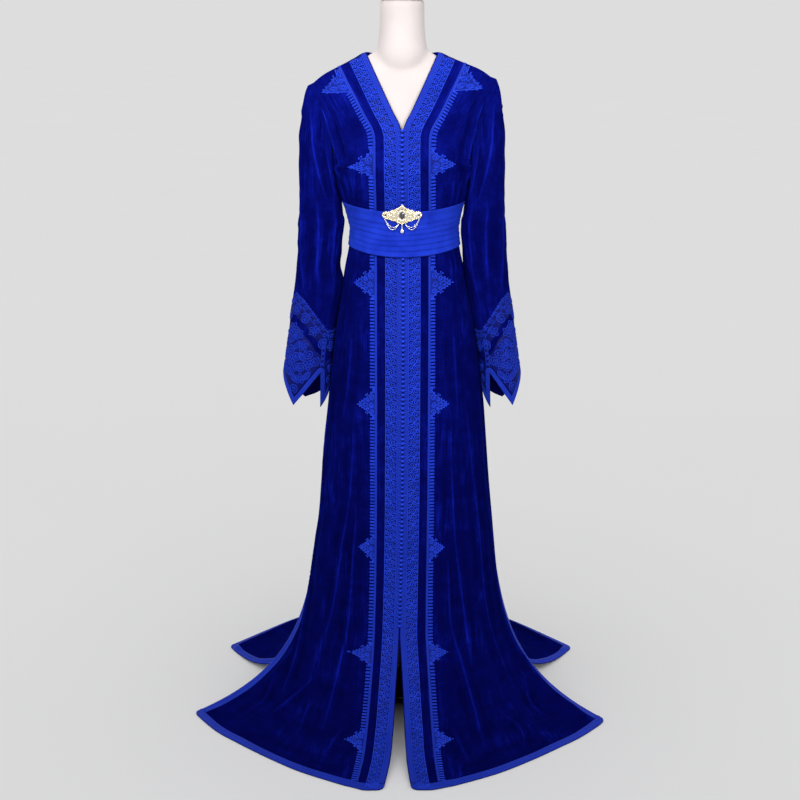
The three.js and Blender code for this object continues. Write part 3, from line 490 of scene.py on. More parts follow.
def round_corner(surface, row, column, radius):
    """Round a corner of a panel, given which end of its rows and columns it is at."""
    p = surface.points
    rows, cols = p.shape[:2]
    i, j = (0 if row == 0 else rows - 1), (0 if column == 0 else cols - 1)
    across = unit(p[i, j + (1 if j == 0 else -1)] - p[i, j])
    down = unit(p[i + (1 if i == 0 else -1), j] - p[i, j])
    corner = p[i, j].copy()
    u = (p - corner) @ across
    v = (p - corner) @ down
    flat = np.stack([u, v], -1) - radius
    near = (u < radius) & (v < radius) & (np.linalg.norm(p - corner, axis=2) < radius * 1.6)
    square, length = np.abs(flat).max(-1), np.maximum(np.linalg.norm(flat, axis=-1), 1e-6)
    moved = flat * (square / length)[..., None] - flat
    p[near] += (moved[..., :1] * across + moved[..., 1:] * down)[near]
    surface.refresh()


def new_object(name, verts, faces, material, uv=None, smooth=True, scale=MM):
    mesh = bpy.data.meshes.new(name)
    mesh.from_pydata((np.asarray(verts, float) * scale).tolist(), [], [tuple(map(int, f)) for f in faces])
    mesh.validate()
    if uv is not None:
        layer = mesh.uv_layers.new(name="UVMap")
        loops = np.zeros(len(mesh.loops), int)
        mesh.loops.foreach_get("vertex_index", loops)
        layer.data.foreach_set("uv", np.asarray(uv, float)[loops].ravel())
    mesh.polygons.foreach_set("use_smooth", [smooth] * len(mesh.polygons))
    mesh.materials.append(material)
    mesh.update()
    obj = bpy.data.objects.new(name, mesh)
    bpy.context.scene.collection.objects.link(obj)
    return obj


def shell_arrays(points, normals, low, high, wrap=False, outward=1, uv=None):
    """Closed shell between two offsets of a grid: vertices, faces and UVs in metres."""
    rows, cols = points.shape[:2]
    low, high = np.broadcast_to(low, (rows, cols)), np.broadcast_to(high, (rows, cols))
    top = points + normals * high[..., None]
    under = points + normals * low[..., None]
    verts = np.concatenate([top.reshape(-1, 3), under.reshape(-1, 3)])
    index = np.arange(rows * cols).reshape(rows, cols)
    shift = rows * cols
    nxt = np.roll(index, -1, axis=1) if wrap else index[:, 1:]
    cur = index if wrap else index[:, :-1]
    quads = np.stack([cur[:-1], cur[1:], nxt[1:], nxt[:-1]], -1).reshape(-1, 4)
    faces = [quads, quads[:, ::-1] + shift]

    def rim(line, flip):
        a, b = line[:-1], line[1:]
        quad = np.stack([a, b, b + shift, a + shift], -1)
        faces.append(quad[:, ::-1] if flip else quad)

    close = (lambda line: np.append(line, line[0])) if wrap else (lambda line: line)
    rim(close(index[0]), False)
    rim(close(index[-1]), True)
    if not wrap:
        rim(index[:, 0], True)
        rim(index[:, -1], False)
    faces = np.concatenate(faces)
    if outward < 0:
        faces = faces[:, ::-1]
    if uv is None:
        down = mean_run(points, 0)
        side = mean_run(points, 1)
        uv = np.stack(np.meshgrid(side * MM, down * MM), -1)
    uv = np.concatenate([uv.reshape(-1, 2)] * 2)
    return verts, faces, uv


def shell(name, points, normals, low, high, material, wrap=False, outward=1, uv=None):
    verts, faces, uv = shell_arrays(points, normals, low, high, wrap, outward, uv)
    return new_object(name, verts, faces, material, uv)


def tube_arrays(points, radius, sides=6, up=None, flat=1.0, closed=False):
    """A cord along points: vertices and faces, each end closed on a point. flat squashes it along up."""
    points = np.asarray(points, float)
    n = len(points)
    radius = np.broadcast_to(radius, (n,))
    if closed:
        way = unit(np.roll(points, -1, axis=0) - np.roll(points, 1, axis=0))
    else:
        way = unit(np.gradient(points, axis=0))
    up = np.broadcast_to([0, 0, 1.0] if up is None else up, (n, 3))
    side = unit(np.cross(way, up))
    lift = unit(np.cross(side, way))
    angle = circle(sides)
    rings = (points[:, None] + side[:, None] * np.cos(angle)[None, :, None] * radius[:, None, None]
             + lift[:, None] * (np.sin(angle) * flat)[None, :, None] * radius[:, None, None])
    verts = rings.reshape(-1, 3)
    faces = []
    for i in range(n if closed else n - 1):
        a, b = i * sides, ((i + 1) % n) * sides
        for k in range(sides):
            m = (k + 1) % sides
            faces.append((a + k, a + m, b + m, b + k))
    if not closed:
        verts = np.vstack([verts, points[0] - way[0] * radius[0] * 0.5,
                           points[-1] + way[-1] * radius[-1] * 0.5])
        for k in range(sides):
            m = (k + 1) % sides
            faces.append((len(verts) - 2, m, k))
            faces.append((len(verts) - 1, (n - 1) * sides + k, (n - 1) * sides + m))
    return verts, faces


def join_arrays(parts):
    verts, faces, shift = [], [], 0
    for v, f in parts:
        verts.append(np.asarray(v, float))
        faces += [tuple(int(i) + shift for i in face) for face in f]
        shift += len(v)
    return np.vstack(verts), faces


def barrel_faces(rings, around):
    """Faces of stacked rings of vertices, closed on two middle vertices that follow the rings."""
    faces = [(i * around + k, i * around + (k + 1) % around, (i + 1) * around + (k + 1) % around,
              (i + 1) * around + k) for i in range(rings - 1) for k in range(around)]
    faces += [(rings * around, (k + 1) % around, k) for k in range(around)]
    last = (rings - 1) * around
    return faces + [(rings * around + 1, last + k, last + (k + 1) % around) for k in range(around)]


def turned(name, profile, around, material, center=(0, 0)):
    """A piece turned about a level axis, the profile given as heights and radii from low to high."""
    profile = np.asarray(profile, float)
    angle = circle(around)
    verts = [(center[0] + r * c, center[1] + r * s, z) for z, r in profile
             for c, s in zip(np.cos(angle), np.sin(angle))]
    verts += [(center[0], center[1], profile[0, 0]), (center[0], center[1], profile[-1, 0])]
    run = run_along(profile)
    uv = [(k / around * 0.3, s * MM) for s in run for k in range(around)] + [(0, 0), (0, run[-1] * MM)]
    return new_object(name, verts, barrel_faces(len(profile), around), material, uv)


def finish_piece(obj, slot, *nodes):
    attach(obj, "root")
    if nodes:
        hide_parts(*nodes)
    return obj


# Repeats along a path

def repeat_tree():
    """Instances of a small piece along a path, at a pitch, standing on the path's stored up direction."""
    tree = bpy.data.node_groups.new("repeat_on_path", "GeometryNodeTree")
    face = tree.interface
    face.new_socket("Geometry", in_out="INPUT", socket_type="NodeSocketGeometry")
    for label, kind in (("Piece", "Object"), ("Pitch", "Float"), ("Size", "Float"), ("Uneven", "Float"),
                        ("Finish", "Material")):
        face.new_socket(label, in_out="INPUT", socket_type="NodeSocket" + kind)
    face.new_socket("Geometry", in_out="OUTPUT", socket_type="NodeSocketGeometry")
    new, link = tree.nodes.new, tree.links.new
    inp, out = new("NodeGroupInput"), new("NodeGroupOutput")
    curve, even = new("GeometryNodeMeshToCurve"), new("GeometryNodeResampleCurve")
    even.mode = "LENGTH"
    up = new("GeometryNodeInputNamedAttribute")
    up.data_type = "FLOAT_VECTOR"
    up.inputs["Name"].default_value = "up"
    way, turn = new("GeometryNodeInputTangent"), new("FunctionNodeAxesToRotation")
    turn.primary_axis, turn.secondary_axis = "Z", "X"
    piece, place = new("GeometryNodeObjectInfo"), new("GeometryNodeInstanceOnPoints")
    random, size = new("FunctionNodeRandomValue"), new("ShaderNodeMath")
    low, high = new("ShaderNodeMath"), new("ShaderNodeMath")
    size.operation, low.operation, high.operation = "MULTIPLY", "SUBTRACT", "ADD"
    low.inputs[0].default_value = high.inputs[0].default_value = 1.0
    real, paint = new("GeometryNodeRealizeInstances"), new("GeometryNodeSetMaterial")
    random.inputs["Seed"].default_value = SEED
    link(inp.outputs["Geometry"], curve.inputs[0])
    link(curve.outputs[0], even.inputs["Curve"])
    link(inp.outputs["Pitch"], even.inputs["Length"])
    link(even.outputs[0], place.inputs["Points"])
    link(inp.outputs["Piece"], piece.inputs["Object"])
    link(piece.outputs["Geometry"], place.inputs["Instance"])
    link(up.outputs["Attribute"], turn.inputs["Primary Axis"])
    link(way.outputs["Tangent"], turn.inputs["Secondary Axis"])
    link(turn.outputs["Rotation"], place.inputs["Rotation"])
    link(inp.outputs["Uneven"], low.inputs[1])
    link(inp.outputs["Uneven"], high.inputs[1])
    link(low.outputs[0], random.inputs[2])
    link(high.outputs[0], random.inputs[3])
    link(random.outputs[1], size.inputs[0])
    link(inp.outputs["Size"], size.inputs[1])
    link(size.outputs[0], place.inputs["Scale"])
    link(place.outputs["Instances"], real.inputs[0])
    link(real.outputs[0], paint.inputs["Geometry"])
    link(inp.outputs["Finish"], paint.inputs["Material"])
    link(paint.outputs[0], out.inputs[0])
    return tree


def piece_object(name, verts, faces, smooth=True):
    """A small loose piece that the repeats copy, kept out of the scene itself."""
    mesh = bpy.data.meshes.new(name)
    mesh.from_pydata((np.asarray(verts, float) * MM).tolist(), [], [tuple(map(int, f)) for f in faces])
    mesh.polygons.foreach_set("use_smooth", [smooth] * len(mesh.polygons))
    return bpy.data.objects.new(name, mesh)


def repeat(name, paths, piece, pitch, material, size=1.0, uneven=0.0):
    """One mesh of copies of a piece along paths, each a pair of points and up directions in millimetres."""
    verts, edges, ups = [], [], []
    for points, up in paths:
        first = len(verts)
        verts += (np.asarray(points, float) * MM).tolist()
        ups += np.broadcast_to(np.asarray(up, float), np.shape(points)).tolist()
        edges += [(first + i, first + i + 1) for i in range(len(points) - 1)]
    mesh = bpy.data.meshes.new(name)
    mesh.from_pydata(verts, edges, [])
    mesh.attributes.new("up", "FLOAT_VECTOR", "POINT").data.foreach_set("vector", np.array(ups).ravel())
    source = bpy.data.objects.new(name + "_path", mesh)
    bpy.context.scene.collection.objects.link(source)
    modifier = source.modifiers.new("repeat", "NODES")
    modifier.node_group = REPEAT
    values = {"Piece": piece, "Pitch": pitch * MM, "Size": size, "Uneven": uneven, "Finish": material}
    for item in REPEAT.interface.items_tree:
        if item.item_type == "SOCKET" and item.in_out == "INPUT" and item.name in values:
            modifier[item.identifier] = values[item.name]
    graph = bpy.context.evaluated_depsgraph_get()
    made = bpy.data.meshes.new_from_object(source.evaluated_get(graph))
    bpy.data.objects.remove(source)
    made.name = name
    if not made.materials:
        made.materials.append(material)
    obj = bpy.data.objects.new(name, made)
    bpy.context.scene.collection.objects.link(obj)
    return obj


REPEAT = repeat_tree()


# Materials

SILK_SHEEN = (0.1, 0.2, 1.0, 1)
THREAD = 0.0011
HERRINGBONE = 0.0037


def material(name):
    made = bpy.data.materials.new(name)
    made.use_nodes = True
    tree = made.node_tree
    return made, tree, tree.nodes["Principled BSDF"]


def node(tree, kind, **values):
    made = tree.nodes.new(kind)
    for key, value in values.items():
        if key in made.inputs:
            made.inputs[key].default_value = value
        else:
            setattr(made, key, value)
    return made


def object_place(tree):
    return tree.nodes.new("ShaderNodeTexCoord").outputs["Object"]


def uv_place(tree):
    made = tree.nodes.new("ShaderNodeUVMap")
    made.uv_map = "UVMap"
    return made.outputs[0]


def settle(shader, **values):
    """Set constants on a shader's own sockets, with _ for each space in a socket's name."""
    for key, value in values.items():
        shader.inputs[key.replace("_", " ")].default_value = value


def noise(tree, source, scale, detail=3.0, rough=0.55):
    made = node(tree, "ShaderNodeTexNoise", Scale=scale, Detail=detail, Roughness=rough)
    tree.links.new(source, made.inputs["Vector"])
    return made.outputs["Fac"]


def ramp(tree, source, stops):
    made = tree.nodes.new("ShaderNodeValToRGB")
    line = made.color_ramp
    while len(line.elements) < len(stops):
        line.elements.new(0.5)
    for element, (place, color) in zip(line.elements, stops):
        element.position = place
        element.color = (*color, 1) if len(color) == 3 else color
    tree.links.new(source, made.inputs[0])
    return made.outputs["Color"]


def paint(tree, shader, socket, source, *stops):
    """Colour one socket of a shader by a mask, along stops of a place and a colour."""
    tree.links.new(ramp(tree, source, stops), shader.inputs[socket])


def mix_color(tree, fac, a, b, blend="MIX"):
    made = tree.nodes.new("ShaderNodeMix")
    made.data_type, made.blend_type = "RGBA", blend
    for socket, value in ((made.inputs[0], fac), (made.inputs[6], a), (made.inputs[7], b)):
        if isinstance(value, bpy.types.NodeSocket):
            tree.links.new(value, socket)
        else:
            socket.default_value = value if socket.type == "VALUE" else (*value, 1)
    return made.outputs[2]


def math_node(tree, operation, a, b=0.0):
    made = tree.nodes.new("ShaderNodeMath")
    made.operation = operation
    for socket, value in zip(made.inputs, (a, b)):
        if isinstance(value, bpy.types.NodeSocket):
            tree.links.new(value, socket)
        else:
            socket.default_value = value
    return made.outputs[0]


def plus(tree, a, b):
    return math_node(tree, "ADD", a, b)


def minus(tree, a, b):
    return math_node(tree, "SUBTRACT", a, b)


def times(tree, a, b):
    return math_node(tree, "MULTIPLY", a, b)


def bump(tree, height, strength, distance, below=None):
    made = node(tree, "ShaderNodeBump", Strength=strength, Distance=distance)
    tree.links.new(height, made.inputs["Height"])
    if below is not None:
        tree.links.new(below, made.inputs["Normal"])
    return made.outputs["Normal"]


def new_group(name, values, masks):
    """An empty shader group with a place, named numbers and named masks."""
    tree = bpy.data.node_groups.new(name, "ShaderNodeTree")
    new_socket = tree.interface.new_socket
    new_socket("Place", in_out="INPUT", socket_type="NodeSocketVector")
    for label, value in values.items():
        new_socket(label, in_out="INPUT", socket_type="NodeSocketFloat").default_value = value
    for label in masks:
        new_socket(label, in_out="OUTPUT", socket_type="NodeSocketFloat")
    return tree, tree.nodes.new("NodeGroupInput").outputs, tree.nodes.new("NodeGroupOutput").inputs


def use_group(tree, group, place, values):
    made = tree.nodes.new("ShaderNodeGroup")
    made.node_tree = group
    tree.links.new(place, made.inputs["Place"])
    for label, value in values.items():
        made.inputs[label].default_value = value
    return made.outputs


def streak_group():
    """Fine uneven threads: a mask of long thin streaks along one direction."""
    tree, inp, out = new_group("thread_streaks", {"Across": 90.0, "Along": 6.0, "Sharp": 5.0}, ["Mask"])
    join = tree.nodes.new("ShaderNodeCombineXYZ")
    tree.links.new(inp["Across"], join.inputs[0])
    tree.links.new(inp["Along"], join.inputs[1])
    join.inputs[2].default_value = 1.0
    scale = tree.nodes.new("ShaderNodeVectorMath")
    scale.operation = "MULTIPLY"
    tree.links.new(inp["Place"], scale.inputs[0])
    tree.links.new(join.outputs[0], scale.inputs[1])
    wave = noise(tree, scale.outputs[0], 1.0, 3, 0.55)
    centred = math_node(tree, "ABSOLUTE", minus(tree, wave, 0.5))
    ridge = minus(tree, 1.0, times(tree, centred, 9.0))
    clear = math_node(tree, "MAXIMUM", ridge, 0.0)
    tree.links.new(math_node(tree, "POWER", clear, inp["Sharp"]), out["Mask"])
    return tree


def tone_group():
    """A fine and a broad noise of one cloth or metal, and their mix by the share of the fine one."""
    tree, inp, out = new_group("two_tones", {"Fine Scale": 900.0, "Fine Detail": 3.0, "Broad Scale": 20.0,
                                             "Broad Detail": 3.0, "Fine Share": 0.5},
                               ["Tone", "Fine", "Broad"])
    parts = []
    for label in ("Fine", "Broad"):
        made = node(tree, "ShaderNodeTexNoise", Roughness=0.55)
        tree.links.new(inp["Place"], made.inputs["Vector"])
        tree.links.new(inp[f"{label} Scale"], made.inputs["Scale"])
        tree.links.new(inp[f"{label} Detail"], made.inputs["Detail"])
        tree.links.new(made.outputs["Fac"], out[label])
        parts.append(made.outputs["Fac"])
    fine = times(tree, parts[0], inp["Fine Share"])
    rest = times(tree, parts[1], minus(tree, 1.0, inp["Fine Share"]))
    tree.links.new(plus(tree, fine, rest), out["Tone"])
    return tree


def streaks(tree, place, across, along_run, sharp):
    return use_group(tree, STREAKS, place, {"Across": across, "Along": along_run, "Sharp": sharp})["Mask"]


def two_tones(tree, fine, broad, share=0.5):
    """The mix, the fine and the broad tone, each noise given as scale and detail."""
    values = {"Fine Scale": fine[0], "Fine Detail": fine[1], "Broad Scale": broad[0],
              "Broad Detail": broad[1], "Fine Share": share}
    made = use_group(tree, TONES, object_place(tree), values)
    return made["Tone"], made["Fine"], made["Broad"]


def velvet_material(name="velvet"):
    made, tree, shader = material(name)
    place = object_place(tree)
    uv = uv_place(tree)
    painted_crest_highlight, painted_trough_shade = painted_fold_light(tree)
    patches = noise(tree, place, 11, 4, 0.6)
    grain = noise(tree, place, 240, 4, 0.7)
    pile_and_fold_light = noise(tree, place, 1500, 2, 0.5)
    fold = streaks(tree, uv, 34, 2.2, 3.0)
    line = streaks(tree, uv, 75, 5.0, 5.0)
    pressed = noise(tree, uv, 26, 5, 0.68)
    where = times(tree, minus(tree, patches, 0.42), 3.2)
    where = math_node(tree, "MINIMUM", math_node(tree, "MAXIMUM", where, 0.0), 1.0)
    marks = times(tree, plus(tree, times(tree, fold, 0.16), times(tree, line, 0.2)), where)
    tone = plus(tree, times(tree, pressed, 0.34), times(tree, grain, 0.16))
    # The tone takes painted shade in the fold hollows and a painted highlight along the fold ridges, then
    # painted sheen and shade by height and facing.
    tone = plus(tree, tone, minus(tree, marks, times(tree, painted_trough_shade, 0.1)))
    tone = plus(tree, tone, times(tree, painted_crest_highlight, 0.25))
    tone = plus(tree, tone, painted_sheen_and_shade(tree, place))
    paint(tree, shader, "Base Color", tone, (0.1, (0.0005, 0.0008, 0.03)), (0.26, (0.0009, 0.0017, 0.064)),
          (0.42, (0.0018, 0.0042, 0.142)), (0.85, (0.007, 0.021, 0.45)))
    settle(shader, Roughness=0.9, Specular_IOR_Level=0.0, Sheen_Weight=0.14, Sheen_Roughness=0.3,
           Sheen_Tint=(0.03, 0.09, 1.0, 1))
    low = bump(tree, plus(tree, marks, pressed), 0.35, 0.0016)
    tree.links.new(bump(tree, pile_and_fold_light, 0.3, 0.0003, low), shader.inputs["Normal"])
    return made


def painted_fold_light(tree):
    """Painted highlights along the fold ridges and painted shade in the hollows beside them, from the folds
    stored on the cloth.
    """
    stored = tree.nodes.new("ShaderNodeAttribute")
    stored.attribute_name = "pile_and_fold_light"
    parts = tree.nodes.new("ShaderNodeSeparateXYZ")
    tree.links.new(stored.outputs["Vector"], parts.inputs[0])
    near = math_node(tree, "DIVIDE", parts.outputs["X"], 2.6)
    fall = math_node(tree, "POWER", 2.718, times(tree, times(tree, near, near), -1.0))
    return times(tree, fall, parts.outputs["Y"]), parts.outputs["Z"]


def painted_sheen_and_shade(tree, place):
    """Painted sheen and shade of the velvet: darker where the cloth faces up, lighter over the chest and
    shoulders.
    """
    spot, facing = tree.nodes.new("ShaderNodeSeparateXYZ"), tree.nodes.new("ShaderNodeSeparateXYZ")
    tree.links.new(place, spot.inputs[0])
    tree.links.new(tree.nodes.new("ShaderNodeNewGeometry").outputs["Normal"], facing.inputs[0])
    # Painted shade: cloth that faces up is darkened.
    up = times(tree, math_node(tree, "MAXIMUM", facing.outputs["Z"], 0.0), -0.045)
    # Painted sheen: the cloth lightens from 1.0 m to 1.45 m high, over the chest and shoulders.
    high = node(tree, "ShaderNodeMapRange")
    for key, value in (("From Min", 1.0), ("From Max", 1.45), ("To Min", 0.0), ("To Max", 0.08)):
        high.inputs[key].default_value = value
    tree.links.new(spot.outputs["Z"], high.inputs["Value"])
    return plus(tree, up, high.outputs[0])


def braid_material(name, dark, light, pitch=0.0035):
    """Woven herringbone of a flat silk braid, on the strip's own run and width."""
    made, tree, shader = material(name)
    link = tree.links.new
    parts = tree.nodes.new("ShaderNodeSeparateXYZ")
    link(uv_place(tree), parts.inputs[0])
    bent = math_node(tree, "PINGPONG", parts.outputs["X"], HERRINGBONE)
    slant = plus(tree, parts.outputs["Y"], bent)
    wave = math_node(tree, "SINE", times(tree, slant, 2 * math.pi / pitch))
    ribs = math_node(tree, "MULTIPLY_ADD", wave, 0.5)
    ribs.node.inputs[2].default_value = 0.5
    _, fibre, patch = two_tones(tree, (900, 3), (14, 3))
    tone = plus(tree, times(tree, ribs, 0.55), times(tree, patch, 0.45))
    paint(tree, shader, "Base Color", tone, (0.15, dark), (0.85, light))
    settle(shader, Roughness=0.52, Specular_IOR_Level=0.06, Sheen_Weight=0.1, Sheen_Tint=SILK_SHEEN)
    link(bump(tree, ribs, 0.7, 0.0006, bump(tree, fibre, 0.2, 0.0002)), shader.inputs["Normal"])
    return made


def cord_material(name, dark, light):
    """Twisted silk cord of the embroidery."""
    made, tree, shader = material(name)
    tone, fibre, _ = two_tones(tree, (1100, 3), (40, 3))
    paint(tree, shader, "Base Color", tone, (0.3, dark), (0.7, light))
    settle(shader, Roughness=0.5, Specular_IOR_Level=0.06, Sheen_Weight=0.08, Sheen_Tint=SILK_SHEEN)
    tree.links.new(bump(tree, fibre, 0.5, 0.0004), shader.inputs["Normal"])
    return made


def chiffon_material():
    made, tree, shader = material("chiffon")
    link = tree.links.new
    parts = tree.nodes.new("ShaderNodeSeparateXYZ")
    link(uv_place(tree), parts.inputs[0])
    warp = math_node(tree, "SINE", times(tree, parts.outputs["X"], 2 * math.pi / THREAD))
    weft = math_node(tree, "SINE", times(tree, parts.outputs["Y"], 2 * math.pi / THREAD))
    weave = times(tree, warp, weft)
    _, fine, patch = two_tones(tree, (160, 4), (22, 4))
    paint(tree, shader, "Base Color", patch, (0.3, (0.0042, 0.016, 0.27)), (0.7, (0.0085, 0.03, 0.4)))
    settle(shader, Roughness=0.72, Specular_IOR_Level=0.03, Sheen_Weight=0.1, Sheen_Tint=SILK_SHEEN)
    link(bump(tree, weave, 0.25, 0.0002, bump(tree, fine, 0.2, 0.0006)), shader.inputs["Normal"])
    return made


def gold_material(name="gold", dark=(0.86, 0.72, 0.46), light=(1.0, 0.93, 0.74)):
    made, tree, shader = material(name)
    _, grain, wear = two_tones(tree, (900, 2), (260, 4))
    paint(tree, shader, "Base Color", wear, (0.35, dark), (0.6, light))
    shader.inputs["Metallic"].default_value = 1.0
    paint(tree, shader, "Roughness", wear, (0.3, (0.3, 0.3, 0.3)), (0.7, (0.16, 0.16, 0.16)))
    tree.links.new(bump(tree, grain, 0.25, 0.0002), shader.inputs["Normal"])
    return made


def gem_material(name, color, rough=0.04):
    made, tree, shader = material(name)
    _, tone, _ = two_tones(tree, (300, 2), (30, 2))
    low = tuple(c * 0.6 for c in color)
    paint(tree, shader, "Base Color", tone, (0.35, low), (0.65, color))
    settle(shader, Roughness=rough, IOR=1.9, Coat_Weight=0.6)
    return made


def jersey_material():
    made, tree, shader = material("jersey")
    link = tree.links.new
    place = object_place(tree)
    squeeze = node(tree, "ShaderNodeMapping")
    squeeze.inputs["Scale"].default_value = (1, 1, 0.35)
    link(place, squeeze.inputs["Vector"])
    knit = noise(tree, squeeze.outputs[0], 900, 2)
    patch = noise(tree, place, 8, 3)
    paint(tree, shader, "Base Color", patch, (0.3, (0.4, 0.36, 0.352)), (0.7, (0.45, 0.406, 0.398)))
    settle(shader, Roughness=0.85, Sheen_Weight=0.15)
    link(bump(tree, knit, 0.25, 0.0003), shader.inputs["Normal"])
    return made


def wood_material():
    made, tree, shader = material("turned_wood")
    link = tree.links.new
    place = object_place(tree)
    grain = node(tree, "ShaderNodeTexWave", Scale=60.0, Distortion=6.0, Detail=3.0)
    grain.bands_direction = "X"
    link(place, grain.inputs["Vector"])
    paint(tree, shader, "Base Color", grain.outputs["Fac"], (0.2, (0.1, 0.045, 0.018)),
          (0.8, (0.26, 0.13, 0.055)))
    settle(shader, Roughness=0.42, Coat_Weight=0.25)
    link(bump(tree, grain.outputs["Fac"], 0.1, 0.0003), shader.inputs["Normal"])
    return made


def steel_material():
    made, tree, shader = material("brushed_steel")
    link = tree.links.new
    place = object_place(tree)
    stretch = node(tree, "ShaderNodeMapping")
    stretch.inputs["Scale"].default_value = (1, 1, 0.03)
    link(place, stretch.inputs["Vector"])
    lines = noise(tree, stretch.outputs[0], 900, 3)
    # Near-black steel: the form's real pole and base, made this dark as painted shade for the view through
    # the front slit.
    paint(tree, shader, "Base Color", lines, (0.3, (0.035, 0.035, 0.038)), (0.7, (0.07, 0.07, 0.074)))
    shader.inputs["Metallic"].default_value = 1.0
    paint(tree, shader, "Roughness", lines, (0.3, (0.34, 0.34, 0.34)), (0.7, (0.24, 0.24, 0.24)))
    link(bump(tree, lines, 0.08, 0.0002), shader.inputs["Normal"])
    return made


STREAKS = streak_group()
TONES = tone_group()
VELVET = velvet_material()
BRAID = braid_material("silk_braid", (0.0028, 0.011, 0.2), (0.008, 0.028, 0.37))
CORD = cord_material("silk_cord", (0.006, 0.024, 0.34), (0.015, 0.05, 0.62))
CUFF_CORD = cord_material("cuff_cord", (0.0032, 0.013, 0.21), (0.0085, 0.029, 0.4))
GROUND = cord_material("lace_ground", (0.0005, 0.0018, 0.055), (0.0012, 0.004, 0.11))
MID_GROUND = cord_material("worked_ground", (0.0016, 0.006, 0.12), (0.003, 0.012, 0.2))
CHIFFON = chiffon_material()
GOLD = gold_material()
WHITE_GOLD = gold_material("white_gold", (0.8, 0.8, 0.8), (1.0, 0.99, 0.96))
STONE = gem_material("dark_stone", (0.01, 0.011, 0.02))
CRYSTAL = gem_material("crystal", (0.75, 0.78, 0.86), 0.03)
JERSEY = jersey_material()
WOOD = wood_material()
STEEL = steel_material()


# Velvet panels and sleeves

def front_creases(surface, side):
    """Soft troughs and ridges of a front panel: gathers at the waist, skirt folds, train ripples."""
    x, y, z = np.abs(surface.points[..., 0]), surface.points[..., 1], surface.points[..., 2]
    column = np.broadcast_to(surface.columns, x.shape)
    free = np.clip((column - 4.5) / 1.5, 0, 1)
    waist = np.exp(-((z - 1180) / 55) ** 2) + np.exp(-((z - 1020) / 50) ** 2)
    gather = waist * np.sin(column * 7.5 + cell_noise(column, z / 60, 3) * 1.5 + side) * 1.6
    long_fold = np.clip((1000 - z) / 500, 0, 1) * (
        np.sin(column * 3.4 + cell_noise(column * 0.7, z / 260, 5 + side) * 1.3) * 2.2
        + cell_noise(column * 2.2, z / 180, 9 + side) * 1.8)
    chest = np.clip((z - 1180) / 120, 0, 1) * np.sin((x * 0.9 + (z - 1300) * 0.55) / 15
                                                    + cell_noise(x / 40, z / 50, 4) * 1.6) * 1.1
    train = np.clip((150 - z) / 120, 0, 1) * cell_noise(x / 42, y / 36, 21 + side) * 2.4
    near_hem = np.clip((z - 3) / 12, 0, 1)
    edge = np.clip((len(FRONT_D) + len(FRONT_SHARE) - 1 - column) / 0.5, 0, 1)
    body = (gather + long_fold + chest) * free * edge + train * edge * np.clip((column - 0.2) / 0.8, 0, 1)
    return (body - 0.6) * near_hem * np.clip((surface.rows[:, None]) / 1.5, 0, 1)


def back_creases(surface):
    x, y, z = surface.points[..., 0], surface.points[..., 1], surface.points[..., 2]
    column = np.broadcast_to(surface.columns, x.shape)
    edge = np.clip(np.minimum(column, BACK_LAST - column) / 0.6, 0, 1)
    waist = np.exp(-((z - 1185) / 55) ** 2) + np.exp(-((z - 1015) / 50) ** 2)
    gather = waist * np.sin(column * 5.5 + cell_noise(column, z / 60, 3) * 1.5) * 1.6
    long_fold = np.clip((1000 - z) / 500, 0, 1) * (
        np.sin(column * 2.9 + cell_noise(column * 0.7, z / 260, 6) * 1.3) * 2.4
        + cell_noise(column * 2, z / 180, 12) * 1.8)
    chest = np.clip((z - 1180) / 120, 0, 1) * np.sin((np.abs(x) * 0.7 + z * 0.6) / 17
                                                    + cell_noise(x / 40, z / 50, 4) * 1.6) * 1.2
    train = np.clip((150 - z) / 120, 0, 1) * cell_noise(x / 42, y / 36, 31) * 2.4
    fade = edge * np.clip((z - 3) / 12, 0, 1) * np.clip(surface.rows[:, None] / 1.5, 0, 1)
    return (gather + long_fold + chest + train - 0.6) * fade


def cloth(name, surface, node_name, thickness=1.6):
    obj = shell(name, surface.points, surface.normals, -thickness, 0, VELVET, surface.wrap,
                surface.outward)
    # The fold marks stored here give the velvet its painted ridge highlights and painted shade in the
    # hollows.
    pile_and_fold_light = obj.data.attributes.new("pile_and_fold_light", "FLOAT_VECTOR", "POINT")
    pile_and_fold_light.data.foreach_set("vector", np.tile(surface.pile_and_fold_light.ravel(), 2))
    finish_piece(obj, "velvet", node_name)
    return obj


